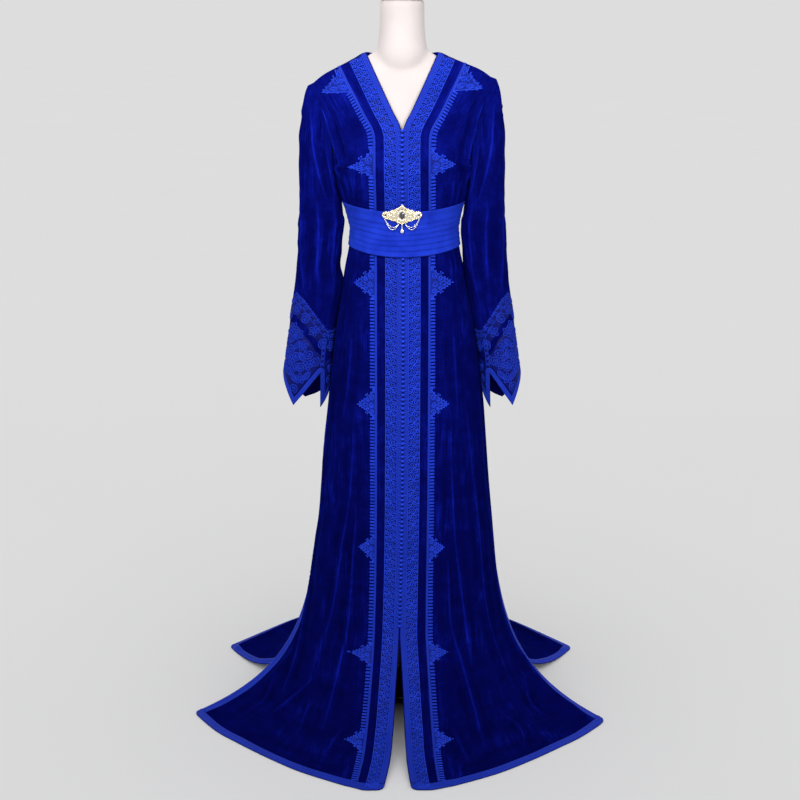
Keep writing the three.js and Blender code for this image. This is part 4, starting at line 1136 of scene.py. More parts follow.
# Ridges of the folds: rows and columns of the panel, width and height in millimetres
FRONT_RIDGES = {
    -1: [([(19.5, 5.2), (21.5, 5.5), (24.3, 6.0)], 8, 2.4),
         ([(24, 4.9), (27.2, 5.2), (30.8, 5.8), (33.1, 6), (37, 7)], 9, 4),
         ([(27, 4.9), (29.6, 4.9), (34, 5.2), (36, 5.5), (38, 5.7), (40, 5.8)], 9, 4.5),
         ([(28, 9.7), (32.2, 10), (35.2, 9), (37.6, 8.3), (39, 8)], 9, 4.5),
         ([(37.6, 6.9), (38.9, 7.5), (40.2, 7.9)], 6, 3),
         ([(39.2, 5.1), (40.3, 5.4), (41.2, 5.5)], 7, 2.2),
         ([(38.3, 9.2), (39.4, 8.7), (40.6, 8.9)], 6, 2.4),
         ([(36.2, 8.8), (37.6, 9.3), (39, 9.6)], 6, 2.2), ([(17.8, 7.8), (24, 8.7), (30, 10)], 10, 3),
         ([(2.6, 10.9), (4.4, 10.1), (6.6, 8.4), (9.4, 6.3)], 9, 6),
         ([(8.6, 5.3), (9.6, 5), (11, 4.9)], 4, 1.8),
         ([(8.8, 6.2), (9.8, 5.8), (11.2, 5.5)], 4, 1.8), ([(9, 7.4), (10, 7), (11.4, 6.8)], 4, 1.8),
         ([(4.5, 7.2), (6, 6.6), (7.2, 6.4)], 6, 1.4), ([(5.2, 8.6), (6.6, 7.6), (8, 7)], 6, 1.6)],
    1: [([(19, 5.1), (20.5, 5.3), (24, 5.6)], 8, 2.4),
        ([(24, 4.9), (28.4, 5.2), (32.4, 5.5), (34.3, 5.8), (37, 6)], 9, 4),
        ([(30, 4.9), (33.7, 5), (36.2, 5.5), (38.5, 5.8), (40.8, 5.9)], 9, 4.5),
        ([(23, 6.2), (30.2, 7), (33.5, 7.2), (38, 7.9)], 9, 4.2),
        ([(22.2, 7.8), (31.8, 8.8), (35.3, 9.3), (38.4, 9.8)], 9, 4.5),
        ([(39, 4.9), (40.4, 5.2), (41.3, 5.4)], 7, 2.2),
        ([(38.2, 8.9), (39.3, 8.4), (40.5, 8.6)], 6, 2.4),
        ([(39.4, 7), (40.4, 7.3), (41.4, 7.1)], 6, 2.4), ([(36, 9.4), (37.5, 9.8), (39, 9.9)], 6, 2.2),
        ([(2.6, 10.9), (4.6, 10.2), (7.2, 8.6), (10, 6.8)], 9, 6),
        ([(8.6, 5.4), (9.8, 5.1), (11, 5)], 4, 1.6),
        ([(9, 6.6), (10, 6.1), (11.4, 5.9)], 4, 1.6), ([(13.4, 5.4), (14.4, 5.9), (16, 6.4)], 5, 1.6)],
}


def roll_hem(surface):
    """A soft roll just before the hem where the back train spreads beside the front."""
    p = surface.points
    step = np.linalg.norm(np.diff(p, axis=0), axis=2)
    away = np.concatenate([np.cumsum(step[::-1], axis=0)[::-1], np.zeros((1, p.shape[1]))])
    aside = np.clip((np.abs(p[..., 0]) - 215) / 60, 0, 1)
    aside = aside * np.clip(np.minimum(surface.columns, BACK_LAST - surface.columns) / 1.1 - 0.15, 0, 1)
    uneven = 0.85 + 0.15 * cell_noise(p[..., 0] / 60, 0 * away, 17)
    p[..., 2] += 9.5 * uneven * aside * np.exp(-(((away - 27) / 13) ** 2))
    surface.refresh()


BACK_RIDGES = [
    ([(2.6, 0.6), (4.6, 1.5), (6.8, 2.8), (9, 4)], 9, 6),
    ([(2.6, 15.4), (4.6, 14.4), (6.8, 13.1), (9, 12)], 9, 6),
    ([(4, 5.5), (6, 6.6), (8, 7.2)], 7, 1.8), ([(4.2, 10.4), (6, 9.6), (8, 8.9)], 7, 1.8),
    ([(8.2, 5), (9.2, 5.3), (10.2, 5.4)], 4, 1.8), ([(8.2, 7), (9.2, 7.1), (10.2, 7.1)], 4, 1.6),
    ([(8.2, 9.2), (9.2, 9), (10.2, 9)], 4, 1.6), ([(8.2, 11.4), (9.2, 11), (10.2, 10.8)], 4, 1.8),
    ([(12, 7.4), (16, 7), (21, 6.6), (26, 6.1), (30, 5.6)], 11, 5),
    ([(13, 8.8), (18, 9.1), (23, 9.8), (28, 10.4)], 11, 5),
    ([(14, 4.6), (18, 4.1), (23, 3.6), (28, 3.2)], 11, 5),
    ([(14, 11.6), (18, 12), (23, 12.4), (29, 12.9)], 11, 5),
    ([(17, 2.6), (21, 2.2), (25, 2), (29, 1.7)], 10, 4.5),
    ([(17, 13.6), (21, 13.8), (25, 14), (29, 14.4)], 10, 4.5),
    ([(20, 8), (24, 8.1), (29, 8.3), (31, 8.2)], 10, 4), ([(27, 6.9), (28.8, 7.4), (30.4, 7.2)], 7, 3),
    ([(27.4, 11.4), (29, 11.8), (31, 11.5)], 7, 3), ([(27.2, 3.9), (29, 4.4), (31, 4.3)], 7, 3),
    ([(28, 13.5), (29.4, 13.2), (31, 13.6)], 7, 2.6), ([(28, 9.4), (29.4, 9.1), (31, 9.5)], 7, 2.6),
]


# Where the front edges run: a row of the panel, then how far left the right and the left edge are
EDGE_RUN = np.array([
    (8.5, 1.05, 1.11), (10, 1.25, 1.31), (12, 1.58, 1.64), (16, 2.27, 2.33), (20, 2.17, 2.23),
    (24, 1.62, 1.68), (28, 0.31, 0.37), (30, -0.94, -0.88), (31.5, -1.65, -1.59), (33, -2.85, -2.79),
    (33.5, -3.93, -3.87), (34, -5.03, -4.96), (34.4, -5.58, -5.5), (34.8, -6.17, -6.05),
    (35, -6.77, -5.33), (35.5, -7.94, -3.91), (36, -9.11, -2.5), (37, -12.08, 0.1), (38, -15.42, 2.99),
    (39, -18.39, 5.22), (40, -21.82, 7.4), (40.3, -23.37, 8.31), (40.6, -25.02, 9.2), (41, -28.7, 11.59),
    (41.5, -32.3, 14.02), (42, -36.26, 17.13), (43, -39.89, 20.47),
])


def guide_edges(surface, side):
    """Bring the front edge onto its run, closed above the slit, and let the cloth beside it follow."""
    wanted = np.interp(surface.rows, EDGE_RUN[:, 0], EDGE_RUN[:, 1 if side < 0 else 2])
    closed = np.clip((surface.rows - 8.5) / 2, 0, 1)
    shift = (wanted - surface.points[:, 0, 0]) * closed
    fade = np.clip(1 - surface.columns / 8, 0, 1)
    surface.points[..., 0] += shift[:, None] * fade
    surface.refresh()


fronts = {}
for side, hand in ((-1, "right"), (1, "left")):
    surface = Surface(front_grid(side), FRONT_SPACING, side)
    guide_edges(surface, side)
    surface.push(front_creases(surface, side))
    surface.crease(FRONT_RIDGES[side])
    surface.round_shoulder()
    surface.points[..., 2] = np.maximum(surface.points[..., 2], CLOTH)
    round_corner(surface, 1, 0, 13)
    round_corner(surface, 1, 1, 11)
    fronts[side] = surface
    cloth(f"velvet_front_{hand}", surface, f"front_{hand}")
back = Surface(back_grid(), BACK_SPACING, -1)
back.push(back_creases(back))
back.crease(BACK_RIDGES)
back.round_shoulder()
roll_hem(back)
back.points[..., 2] = np.maximum(back.points[..., 2], CLOTH)
round_corner(back, 1, 0, 12)
round_corner(back, 1, 1, 12)
cloth("velvet_back", back, "back")


def armhole_points(side):
    """The sleeve seam, on the edges of the front and back grids."""
    front, rear = front_grid(side), back_grid()
    points = []
    for row, face, *_ in SLEEVE_COLUMNS:
        grid, column = (front, -1) if face < 0 else (rear, 0 if side < 0 else -1)
        p = grid[row][column] + [side * (GAP - 0.1), 0, -GAP if row == 8 else 0]
        if row in (0, 8):
            p[1] = 0
        points.append(p)
    return np.array(points)


def sleeve_table(columns):
    """Angle, top of the embroidery and hem height at fractional columns, the first one again at the end."""
    table = np.array(SLEEVE_COLUMNS + SLEEVE_COLUMNS[:1], float)
    table[-1, 2] = 360
    return [np.interp(columns, np.arange(len(table)), table[:, k]) for k in (2, 3, 4)]


def sleeve_grid(side, fine):
    """Rows of a sleeve at fine fractional columns: seam, cap, arm and the cuff between its two edges."""
    seam = armhole_points(side)
    loop = np.concatenate([seam[-3:], seam, seam[:4]])
    seam = smooth_axis(loop, np.arange(len(loop)), fine + 3)
    angle, top, hem = sleeve_table(fine)
    first = sleeve_point(angle, np.full(len(fine), 1150.0), side)
    lean = np.maximum(0, np.cos(np.radians(angle)))[:, None]
    fall = (seam[:, 2:] - first[:, 2:])
    zero = np.zeros_like(fall)
    p1 = seam + np.hstack([side * (5 + 19 * lean), zero, -fall * (0.3 - 0.13 * lean)])
    p2 = first + np.hstack([zero - side * 1.5, zero, fall * 0.4])
    rows = [seam]
    for t in (0.05, 0.14, 0.26, 0.4, 0.55, 0.7, 0.85):
        p = (1 - t) ** 3 * seam + 3 * t * (1 - t) ** 2 * p1 + 3 * t * t * (1 - t) * p2 + t**3 * first
        deep = np.where(p[:, 1] < 0, ring(p[:, 2], FRONT), ring(p[:, 2], BACK))
        least = beside_body(p[:, 2], side) * np.sqrt(np.maximum(0, 1 - (p[:, 1] / deep) ** 2))
        p[:, 0] = np.where(p[:, 2] < UNDERARM_Z, side * np.maximum(side * p[:, 0], least), p[:, 0])
        rows.append(p)
    rows += [sleeve_point(angle, np.full(len(fine), float(z)), side)
             for z in (1150, 1115, 1080, 1047, 1013, 985)]
    for share in CUFF_SHARES:
        rows.append(sleeve_point(angle, top + (hem - top) * share, side))
    return np.array(rows)


def sleeve_creases(surface, side):
    z = surface.points[..., 2]
    column = np.broadcast_to(surface.columns, z.shape)
    turn = column / SLEEVE_COUNT * 2 * math.pi
    arm = np.clip((z - 965) / 60, 0, 1) * np.clip((1400 - z) / 60, 0, 1)
    long_fold = np.sin(turn * 3 + cell_noise(turn, z / 160, 2 + side) * 1.2) * 1.5
    elbow = np.sin(z / 9 + turn * 1.5 + cell_noise(turn * 2, z / 30, 8) * 2) * 1.1
    drag = np.sin(z / 17 + turn * 4 + cell_noise(turn * 2, z / 40, 5) * 2) * 1.1
    return (long_fold + np.exp(-((z - 1110) / 70) ** 2) * elbow + np.clip((z - 1200) / 80, 0, 1) * drag
            - 0.8) * arm


sleeves = {}
PER_COLUMN = 10
fine_columns = np.arange(0, SLEEVE_COUNT, 1 / PER_COLUMN)
# Rows run from the shoulder seam, 0, by the elbow, 11, to the hem, 21
# Columns run from the outer side to the front
SLEEVE_RIDGES = [
    ([(6, 0.8), (9, 1.1), (11, 1.3), (14.5, 2)], 8, 2.6), ([(7.5, 3), (10, 3.2), (13.5, 3.4)], 7, 2.6),
    ([(8, 5.6), (10.5, 5.4), (14, 5.2)], 7, 3), ([(8.5, 7), (11, 6.4), (13.6, 5.9)], 6, 2.4),
    ([(2, 1.6), (5, 2.6), (7.6, 4.4)], 9, 4), ([(3, 4), (5, 5), (7, 6)], 7, 3),
    ([(7, 9), (10, 9.6), (13.5, 10)], 8, 2.8), ([(6, 12), (9, 12.2), (13.5, 12.6)], 8, 2.8),
    ([(2, 14.4), (5, 13.4), (7.6, 11.6)], 9, 4), ([(8, 14.2), (11, 14.4), (14, 14.1)], 8, 2.4),
    ([(9, 2.2), (9.8, 3.2), (10.2, 4.4)], 5, 1.8), ([(10, 12.8), (10.6, 11.6), (11, 10.6)], 5, 1.8),
]
for side, hand in ((-1, "right"), (1, "left")):
    rows = sleeve_grid(side, fine_columns)
    surface = Surface(rows, SLEEVE_SPACING, -side, wrap=True, columns=np.arange(0, len(fine_columns) + 7))
    surface.columns = surface.columns / PER_COLUMN
    surface.count = SLEEVE_COUNT
    surface.push(sleeve_creases(surface, side))
    surface.crease(SLEEVE_RIDGES)
    surface.round_shoulder()
    sleeves[side] = surface
    cloth(f"velvet_sleeve_{hand}", surface, f"sleeve_{hand}")


# Trims laid on the cloth

VENT_ROW = len(YOKE_V) + len(FRONT_Z) - 1
BACK_VENT_ROW = len(YOKE_V) + len(BACK_Z) - 1
BACK_HEM_ROW = BACK_VENT_ROW + len(FLARE_T) - 1
FLAT_BRAID = [0.35, 1.15, 1.25, 0.95, 1.1, 1.2, 1.1, 0.95, 1.25, 1.15, 0.35]
HEM_PROFILE = [0.35, 1.1, 1.35, 1.3, 1.0, 0.6, 1.0, 1.3, 1.35, 1.1, 0.35]
OPENING_BRAID = [0.3, 0.9, 1.0, 0.85, 0.95, 1.0, 0.9, 0.7, 1.2, 1.5, 1.2, 0.3]
PLAIN_BAND = [0.25, 0.7, 0.85, 0.9, 0.85, 0.7, 0.25]


def column_of(d):
    return np.interp(d, FRONT_D + [118, 130], np.arange(len(FRONT_D) + 2))


def strip_on(name, surface, rows, columns, profile, mat, outward, lift=0.08):
    """A woven strip on a surface, its run down the first axis and its width across the second."""
    points, normals, _ = surface.at(rows, columns, lift)
    high = np.broadcast_to(profile, points.shape[:2])
    run = mean_run(points, 0)
    wide = np.cumsum(np.concatenate([np.zeros((len(points), 1)),
                                     np.linalg.norm(np.diff(points, axis=1), axis=2)], 1), 1)
    uv = np.stack([wide * MM, np.broadcast_to(run[:, None] * MM, wide.shape)], -1)
    return shell(name, points, normals, 0, high, mat, outward=outward, uv=uv)


def down_rows(surface, first, last, spacing=5.0):
    """Fractional rows from first to last, spaced by millimetres on the surface."""
    rows = np.linspace(first, last, 400)
    p = surface.at(rows, np.full(400, 2.0))[0]
    run = run_along(p)
    return np.interp(np.linspace(0, run[-1], max(2, int(run[-1] / spacing))), run, rows)


def front_strip(name, surface, low, high, profile, mat, slot_node):
    rows = down_rows(surface, 0, HEM_ROW - 0.03)
    across = np.linspace(column_of(low), column_of(high), len(profile))
    rows, columns = np.meshgrid(rows, across, indexing="ij")
    return finish_piece(strip_on(name, surface, rows, columns, profile, mat, surface.outward), "braid",
                        *slot_node)


def across_strip(row_low, row_high, first, last, profile, count):
    columns = np.linspace(first, last, count)
    across = np.linspace(row_high, row_low, len(profile))
    columns, rows = np.meshgrid(columns, across, indexing="ij")
    return rows, columns


def hem_braids(name, surface, hem_row, vent_row, vents, columns_count, node_name):
    """Flat braid along a hem and up its free vent edges."""
    made = []
    rows, columns = across_strip(hem_row + 1, hem_row, 0, columns_count, HEM_PROFILE, 150)
    made.append(strip_on(name, surface, rows, columns, HEM_PROFILE, BRAID, -surface.outward))
    for k, (inner, edge) in enumerate(vents):
        run = np.linspace(vent_row + 0.02, hem_row + 0.04, 50)
        full = surface.at(run, inner + 0 * run)[0] - surface.at(run, edge + 0 * run)[0]
        reach = np.minimum(1, HEM_BRAID / np.linalg.norm(full, axis=1))
        columns = edge + (inner - edge) * reach[:, None] * np.linspace(1, 0, len(HEM_PROFILE))
        rows = np.broadcast_to(run[:, None], columns.shape)
        turn = surface.outward if edge > inner else -surface.outward
        made.append(strip_on(f"{name}_vent_{k}", surface, rows, columns, HEM_PROFILE, BRAID, turn, 0.1))
    return finish_piece(join_objects(made), "braid", node_name)


def join_objects(objects):
    """Join plain objects of one material into the first."""
    first = objects[0]
    mesh = bmesh.new()
    for obj in objects:
        mesh.from_mesh(obj.data)
    mesh.to_mesh(first.data)
    mesh.free()
    for obj in objects[1:]:
        bpy.data.objects.remove(obj)
    return first


def spiral(center, outer, inner, start, turns, count=None, squash=1.0):
    count = count or max(8, int(abs(turns) * 11))
    t = np.linspace(0, 1, count)
    angle = math.radians(start) + t * turns * 2 * math.pi
    r = outer + (inner - outer) * t
    return np.stack([center[0] + r * np.cos(angle), center[1] + r * squash * np.sin(angle)], -1)


def ring_curve(center, r, count=9, squash=1.0, start=0):
    return spiral(center, r, r, start, 1, count + 1, squash)


def leaf_curve(root, tip, width, count=10):
    root, tip = np.array(root, float), np.array(tip, float)
    way = tip - root
    side = np.array([-way[1], way[0]]) / max(1e-6, np.linalg.norm(way))
    t = np.linspace(0, 1, count // 2 + 1)
    bulge = np.sin(t * math.pi) ** 0.8 * width
    one = root + t[:, None] * way + bulge[:, None] * side
    two = root + t[::-1, None] * way - bulge[::-1, None] * side
    return np.vstack([one, two[1:]])


def wave(x0, x1, y, high, waves, count, phase=0.0):
    x = np.linspace(x0, x1, count)
    return np.stack([x, y + high * np.sin((x - x0) / (x1 - x0) * waves * 2 * math.pi + phase)], -1)


def flat_piece(name, cords, mirror=1):
    """A small piece of cords lying in the plane of X along and Y across."""
    parts = []
    for curve, radius, lift in cords:
        curve = np.asarray(curve, float) * [1, mirror]
        points = np.column_stack([curve, np.full(len(curve), lift)])
        parts.append(tube_arrays(points, radius, 4, np.array([0, 0, 1.0]), 0.75))
    return piece_object(name, *join_arrays(parts))


LACE_PITCH = 26.0


def lace_piece(mirror):
    """One length of the scroll lace: two scrolls on a running stem, leaves and scallops."""
    half = LACE_PITCH / 2
    cords = [
        (wave(-half, half, 0, 4.4, 1, 15), 1.15, 0.3),
        (spiral((-6.6, -3.6), 6.4, 1.4, 120, 1.55, 17), 1.1, 0.6),
        (spiral((6.4, 3.8), 6.6, 1.4, -60, 1.55, 17), 1.1, 0.6),
        (leaf_curve((-9.5, 4.6), (-4.2, 10.4), 2.4, 10), 0.95, 0.4),
        (leaf_curve((-3.2, 5.2), (-0.6, 10.4), 1.7, 8), 0.9, 0.4),
        (leaf_curve((9.5, -4.6), (4.2, -10.4), 2.4, 10), 0.95, 0.4),
        (leaf_curve((3.2, -5.2), (0.4, -10.4), 1.7, 8), 0.9, 0.4),
        (ring_curve((-11.4, -9.6), 1.7, 6), 0.9, 0.5),
        (ring_curve((11.4, 9.4), 1.7, 6), 0.9, 0.5),
        (wave(-half, half, -12.0, 0.5, 4, 9), 1.0, 0.3),
    ]
    for k in range(4):
        cords.append((spiral((-half + 3.25 + 6.5 * k, 11.2), 3.2, 3.2, 185, -0.52, 6, 0.75), 0.95, 0.4))
    return flat_piece(f"lace_tile_{mirror}", cords, mirror)


def picot_piece(mirror):
    """A short bar of the outer band: a cord looped out and back."""
    loop = np.array([(-1.1, -4.8), (-1.1, 2), (-1.5, 4), (0, 5.4), (1.5, 4), (1.1, 2), (1.1, -4.8)])
    return flat_piece(f"picot_{mirror}", [(loop, 1.1, 0.5)], mirror)


def knot_piece():
    """A round knot button of wrapped cord, with the two ends of its loop."""
    rings, verts, faces, around = 5, [], [], 8
    for i in range(1, rings):
        lat = math.pi * i / rings
        for k in range(around):
            lon = 2 * math.pi * k / around
            r = 3.1 * (1 + 0.07 * math.cos(lon * 4 + i * math.pi))
            verts.append((r * 1.0 * math.sin(lat) * math.cos(lon), r * math.cos(lat),
                          2.6 + r * 0.85 * math.sin(lat) * math.sin(lon)))
    for i in range(rings - 2):
        for k in range(around):
            a, b = i * around + k, i * around + (k + 1) % around
            faces.append((a, a + around, b + around, b))
    verts += [(0, 3.1, 2.6), (0, -3.1, 2.6)]
    last = (rings - 2) * around
    for k in range(around):
        faces.append((len(verts) - 2, k, (k + 1) % around))
        faces.append((len(verts) - 1, last + (k + 1) % around, last + k))
    bar = tube_arrays(np.array([(0, -7.5, 0.3), (0, -4, 0.9), (0, 4, 0.9), (0, 7.5, 0.3)]), 0.9, 4,
                      np.array([0, 0, 1.0]), 0.8)
    return piece_object("knot", *join_arrays([(verts, faces), bar]))


def surface_path(surface, rows, d, lift):
    points, normals, _ = surface.at(rows, np.full(len(rows), column_of(d)), lift)
    return points, normals


def motif_places(side_rows):
    """Turn local millimetres, along the band and out from it, into rows and columns of the front."""
    start, tip, end, reach = side_rows

    def place(curve):
        rows = np.interp(curve[:, 0], [-29, 0, 29], [start, tip, end])
        return rows, column_of(60.5 + curve[:, 1] * reach / 46)
    return place


MOTIF_DOTS = ((27.5, 6.2), (22.5, 11.2), (19.6, 20.6), (17.2, 24.4), (10.6, 28.2), (7.2, 34.2), (4.2, 40))
MOTIF_CORDS = (
    [(np.array([(s * 29, 1), (s * 24, 7), (s * 17, 14), (s * 16.5, 21), (s * 12, 22), (s * 7, 31),
                (s * 3.5, 37), (0, 43)]), 1.15) for s in (-1, 1)]
    + [(spiral((s * 15, 8.2), 6.6, 1.4, 90 - s * 90, s * 1.6), 1.15) for s in (-1, 1)]
    + [(spiral((0, 10.5), 6.2, 1.5, -90, 1.7), 1.15)]
    + [(spiral((s * 9.5, 20.0), 4.4, 1.2, -90, -s * 1.5), 1.05) for s in (-1, 1)]
    + [(leaf_curve((0, 18.5), (0, 31.5), 3.4, 12), 1.1)]
    + [(leaf_curve((0, 32.5), (0, 40), 1.9, 8), 1.0)]
    + [(np.array([(s * 2, 30), (s * 5.4, 27), (s * 6.8, 29.5)]), 1.0) for s in (-1, 1)]
    + [(ring_curve((s * 24.2, 3.6), 2.0, 7), 1.0) for s in (-1, 1)]
    + [(ring_curve((s * x, y), 1.1, 6), 0.9) for s in (-1, 1) for x, y in MOTIF_DOTS]
    + [(ring_curve((0, 45.2), 1.0, 6), 0.9)]
)


def motif_ground(surface, rows_of, name):
    """Thin woven ground under a motif, tapering to its tip."""
    start, tip, end, out = rows_of
    along_rows = np.linspace(start + 0.04, end - 0.04, 25)
    share = np.interp(along_rows, [start, tip, end], [0, 1, 0])
    reach = 62.5 + 0.84 * out * np.clip(share, 0.02, 1)
    across = np.linspace(0, 1, 9)
    columns = column_of(61 + (reach[:, None] - 61) * across)
    rows = np.broadcast_to(along_rows[:, None], columns.shape)
    profile = [0.1, 0.35, 0.4, 0.4, 0.4, 0.4, 0.4, 0.35, 0.1]
    return strip_on(name, surface, rows, columns, profile, MID_GROUND, surface.outward, 0.06)


def cords_on(surface, place, cords, lift=0.75, flat=0.75):
    parts = []
    for curve, radius in cords:
        rows, columns = place(np.asarray(curve, float))
        points, normals, _ = surface.at(rows, columns, lift)
        parts.append(tube_arrays(points, radius, 4, normals, flat))
    return parts


def shoulder_low(x):
    """Share of the yoke's height at the level lower edge of the shoulder motif, x out from the band."""
    return 0.286 - 0.104 * x / 57


def shoulder_place(curve):
    v = np.maximum(shoulder_low(curve[:, 0]) - curve[:, 1] / 245, 0.004)
    return np.interp(v, YOKE_V, np.arange(len(YOKE_V))), column_of(60.5 + curve[:, 0])


def shoulder_motif():
    """Half motif under the shoulder seam: level lower edge, a point to the sleeve and filled scrolls."""
    cords = [(np.array([(0, 0), (20, 0), (38, 0), (57, 0)]), 1.2),
             (np.array([(57, 0), (47, 7), (40, 10), (37, 16), (29, 20), (26, 28), (20, 34), (17, 43)]),
              1.2),
             (np.array([(17, 43), (12, 38), (10, 48), (9, 62)]), 1.15),
             (np.array([(1, 0), (1, 30), (1, 62)]), 1.1),
             (spiral((11, 11), 8.6, 1.5, 0, 2.2), 1.2), (spiral((9.5, 29), 7.2, 1.5, 180, -1.9), 1.15),
             (spiral((28, 9.5), 7.4, 1.4, 120, 1.9), 1.15),
             (leaf_curve((37, 4.5), (51, 2.5), 2.2, 10), 1.05),
             (leaf_curve((18, 22), (18, 38), 3.2, 10), 1.1),
             (leaf_curve((5, 40), (5, 58), 2.6, 10), 1.05)]
    for x, y in ((58.5, 0), (48, 9.6), (38.5, 18), (28.5, 25.5), (21.5, 36), (17, 45.5), (44, -1.8),
                 (24, -1.8)):
        cords.append((ring_curve((x, y), 1.2, 6), 0.9))
    return shoulder_place, cords


def shoulder_ground(surface, name):
    x = np.linspace(0.5, 54, 14)
    top = np.interp(x, [0, 9, 12, 17, 54], [62, 62, 40, 40, 2])
    grid = np.linspace(0, 1, 9)[:, None] * top[None]
    rows, columns = shoulder_place(np.stack([np.broadcast_to(x, grid.shape).ravel(), grid.ravel()], -1))
    profile = [0.1] + [0.4] * 12 + [0.1]
    return strip_on(name, surface, rows.reshape(grid.shape)[::-1], columns.reshape(grid.shape)[::-1],
                    profile, MID_GROUND, surface.outward, 0.06)


def dress_front(side, hand):
    surface = fronts[side]
    front_strip(f"opening_braid_{hand}", surface, 1.6, 12.6, OPENING_BRAID, BRAID,
                (f"edge_braid_{hand}",))
    front_strip(f"lace_ground_{hand}", surface, 13, 37.2, [0.1] + [0.5] * 5 + [0.1], GROUND,
                (f"lace_band_{hand}",))
    front_strip(f"narrow_band_{hand}", surface, 56.5, 62, PLAIN_BAND, BRAID, (f"motif_band_{hand}",))
    rows = down_rows(surface, 0.95, HEM_ROW + 0.12, 12)
    lace = repeat(f"lace_scrolls_{hand}", [surface_path(surface, rows, 25.6, 0.7)], LACE[side],
                  LACE_PITCH, CORD)
    finish_piece(lace, "braid")
    stops = [SHOULDER] + [(a - 0.02, t, b + 0.02) for a, t, b, _ in MOTIF_ROWS[side]]
    paths, first = [], 0.0
    for start, _, end in stops[1:] + [(HEM_ROW - 0.05, 0, 0)]:
        begin = max(first, 2.6) if first == 0 else first
        if start > begin:
            paths.append(surface_path(surface, down_rows(surface, begin, start, 8), 66.5, 0.4))
        first = end
    picots = repeat(f"picots_{hand}", paths, PICOT[side], 7.4, CORD, 1.0, 0.06)
    finish_piece(picots, "braid")
    parts, grounds = [], []
    for k, rows_of in enumerate(MOTIF_ROWS[side]):
        parts += cords_on(surface, motif_places(rows_of), MOTIF_CORDS)
        grounds.append(motif_ground(surface, rows_of, f"motif_ground_{hand}_{k}"))
    place, cords = shoulder_motif()
    parts += cords_on(surface, place, cords)
    grounds.append(shoulder_ground(surface, f"shoulder_ground_{hand}"))
    finish_piece(join_objects(grounds), "braid")
    finish_piece(new_object(f"motif_cords_{hand}", *join_arrays(parts), CORD), "braid")
    hem_braids(f"hem_flat_braid_{hand}", surface, HEM_ROW, VENT_ROW, [(len(FRONT_D) + 4, len(FRONT_D) + 5)],
               len(FRONT_D) + len(FRONT_SHARE) - 1, f"hem_braid_front_{hand}")


SHOULDER = (0, 1, 2.5)
LACE = {side: lace_piece(-side) for side in (-1, 1)}
PICOT = {side: picot_piece(side) for side in (-1, 1)}
KNOT = knot_piece()


def dress_middle():
    """Knot buttons where the two front edges meet, from the neck to the slit."""
    points = []
    for z in np.arange(1322, 216, -10.0):
        edge = [fronts[s].points[:, 0] for s in (-1, 1)]
        y = min(np.interp(-z, -e[:, 2], e[:, 1]) for e in edge)
        x = sum(np.interp(-z, -e[:, 2], e[:, 0]) for e in edge) / 2
        points.append((x, y - 1.35, z))
    buttons = repeat("knot_buttons", [(np.array(points), FORWARD)], KNOT, 10.0, CORD,
                     1.12, 0.03)
    finish_piece(buttons, "braid", "button_row")


def dress_back():
    hem_braids("hem_flat_braid_back", back, BACK_HEM_ROW, BACK_VENT_ROW,
               [(1, 0), (BACK_LAST - 1, BACK_LAST)], BACK_LAST,
               "hem_braid_back")
    rows, columns = across_strip(0.95, 0.03, 5.04, 10.96, FLAT_BRAID, 60)
    finish_piece(strip_on("neck_flat_braid", back, rows, columns, FLAT_BRAID, BRAID, -back.outward),
                 "braid", "neck_braid")


# Cuffs

CUFF_FIRST = 14
CUFF_STEPS = 640
BRAID_PLACES, GROUND_PLACES = 241, 181
CUFF_BRAID = 11.0
CUFF_LEVEL = 780.0
NOTCH_COLUMN = 5.25


def cuff_tables(side):
    """Around the cuff: fine columns, run in millimetres, top of the embroidery and hem height."""
    columns = np.linspace(0, SLEEVE_COUNT, CUFF_STEPS + 1)
    angle, top, hem = sleeve_table(columns)
    run = run_along(sleeve_point(angle, np.full(len(columns), CUFF_LEVEL), side))
    return columns, run, top, hem


def cuff_place(side):
    """Turn millimetres round the cuff and heights into rows and columns of the sleeve."""
    columns, run, top, hem = cuff_tables(side)

    def place(curve):
        at = curve[:, 0] % run[-1]
        column = np.interp(at, run, columns)
        high, low = np.interp(at, run, top), np.interp(at, run, hem)
        share = np.clip((high - curve[:, 1]) / (high - low), -0.35, 1)
        row = np.interp(share, CUFF_SHARES, CUFF_FIRST + np.arange(len(CUFF_SHARES)))
        return np.where(share < 0, CUFF_FIRST + share * 2, row), column
    return place


def cuff_strip(name, side, heights, count, profile, mat):
    """A strip round the cuff, with one line of heights for each line of its profile."""
    _, run, _, _ = cuff_tables(side)
    place = cuff_place(side)
    at = np.minimum(run, run[-1] - 1e-6)
    pick = np.linspace(0, CUFF_STEPS, count).astype(int)
    lines = [place(np.stack([at, z], -1)) for z in heights]
    rows, columns = (np.array([line[k][pick] for line in lines]).T for k in (0, 1))
    return strip_on(name, sleeves[side], rows, columns, profile, mat, side)


def cuff_braid(side, hand):
    """The braid along the cuff's pointed edge, and the heights of its inner edge."""
    _, run, _, hem = cuff_tables(side)
    reach = np.linspace(-CUFF_BRAID, CUFF_BRAID, 45)
    at = (run[:, None] + reach) % run[-1]
    inner = (np.interp(at, run, hem) + np.sqrt(np.maximum(0, CUFF_BRAID**2 - reach**2))).max(axis=1)
    heights = [inner + (hem - inner) * share for share in np.linspace(0, 1, len(FLAT_BRAID))]
    obj = cuff_strip(f"cuff_flat_braid_{hand}", side, heights, BRAID_PLACES, FLAT_BRAID, BRAID)
    finish_piece(obj, "braid", f"cuff_braid_{hand}")
    return inner


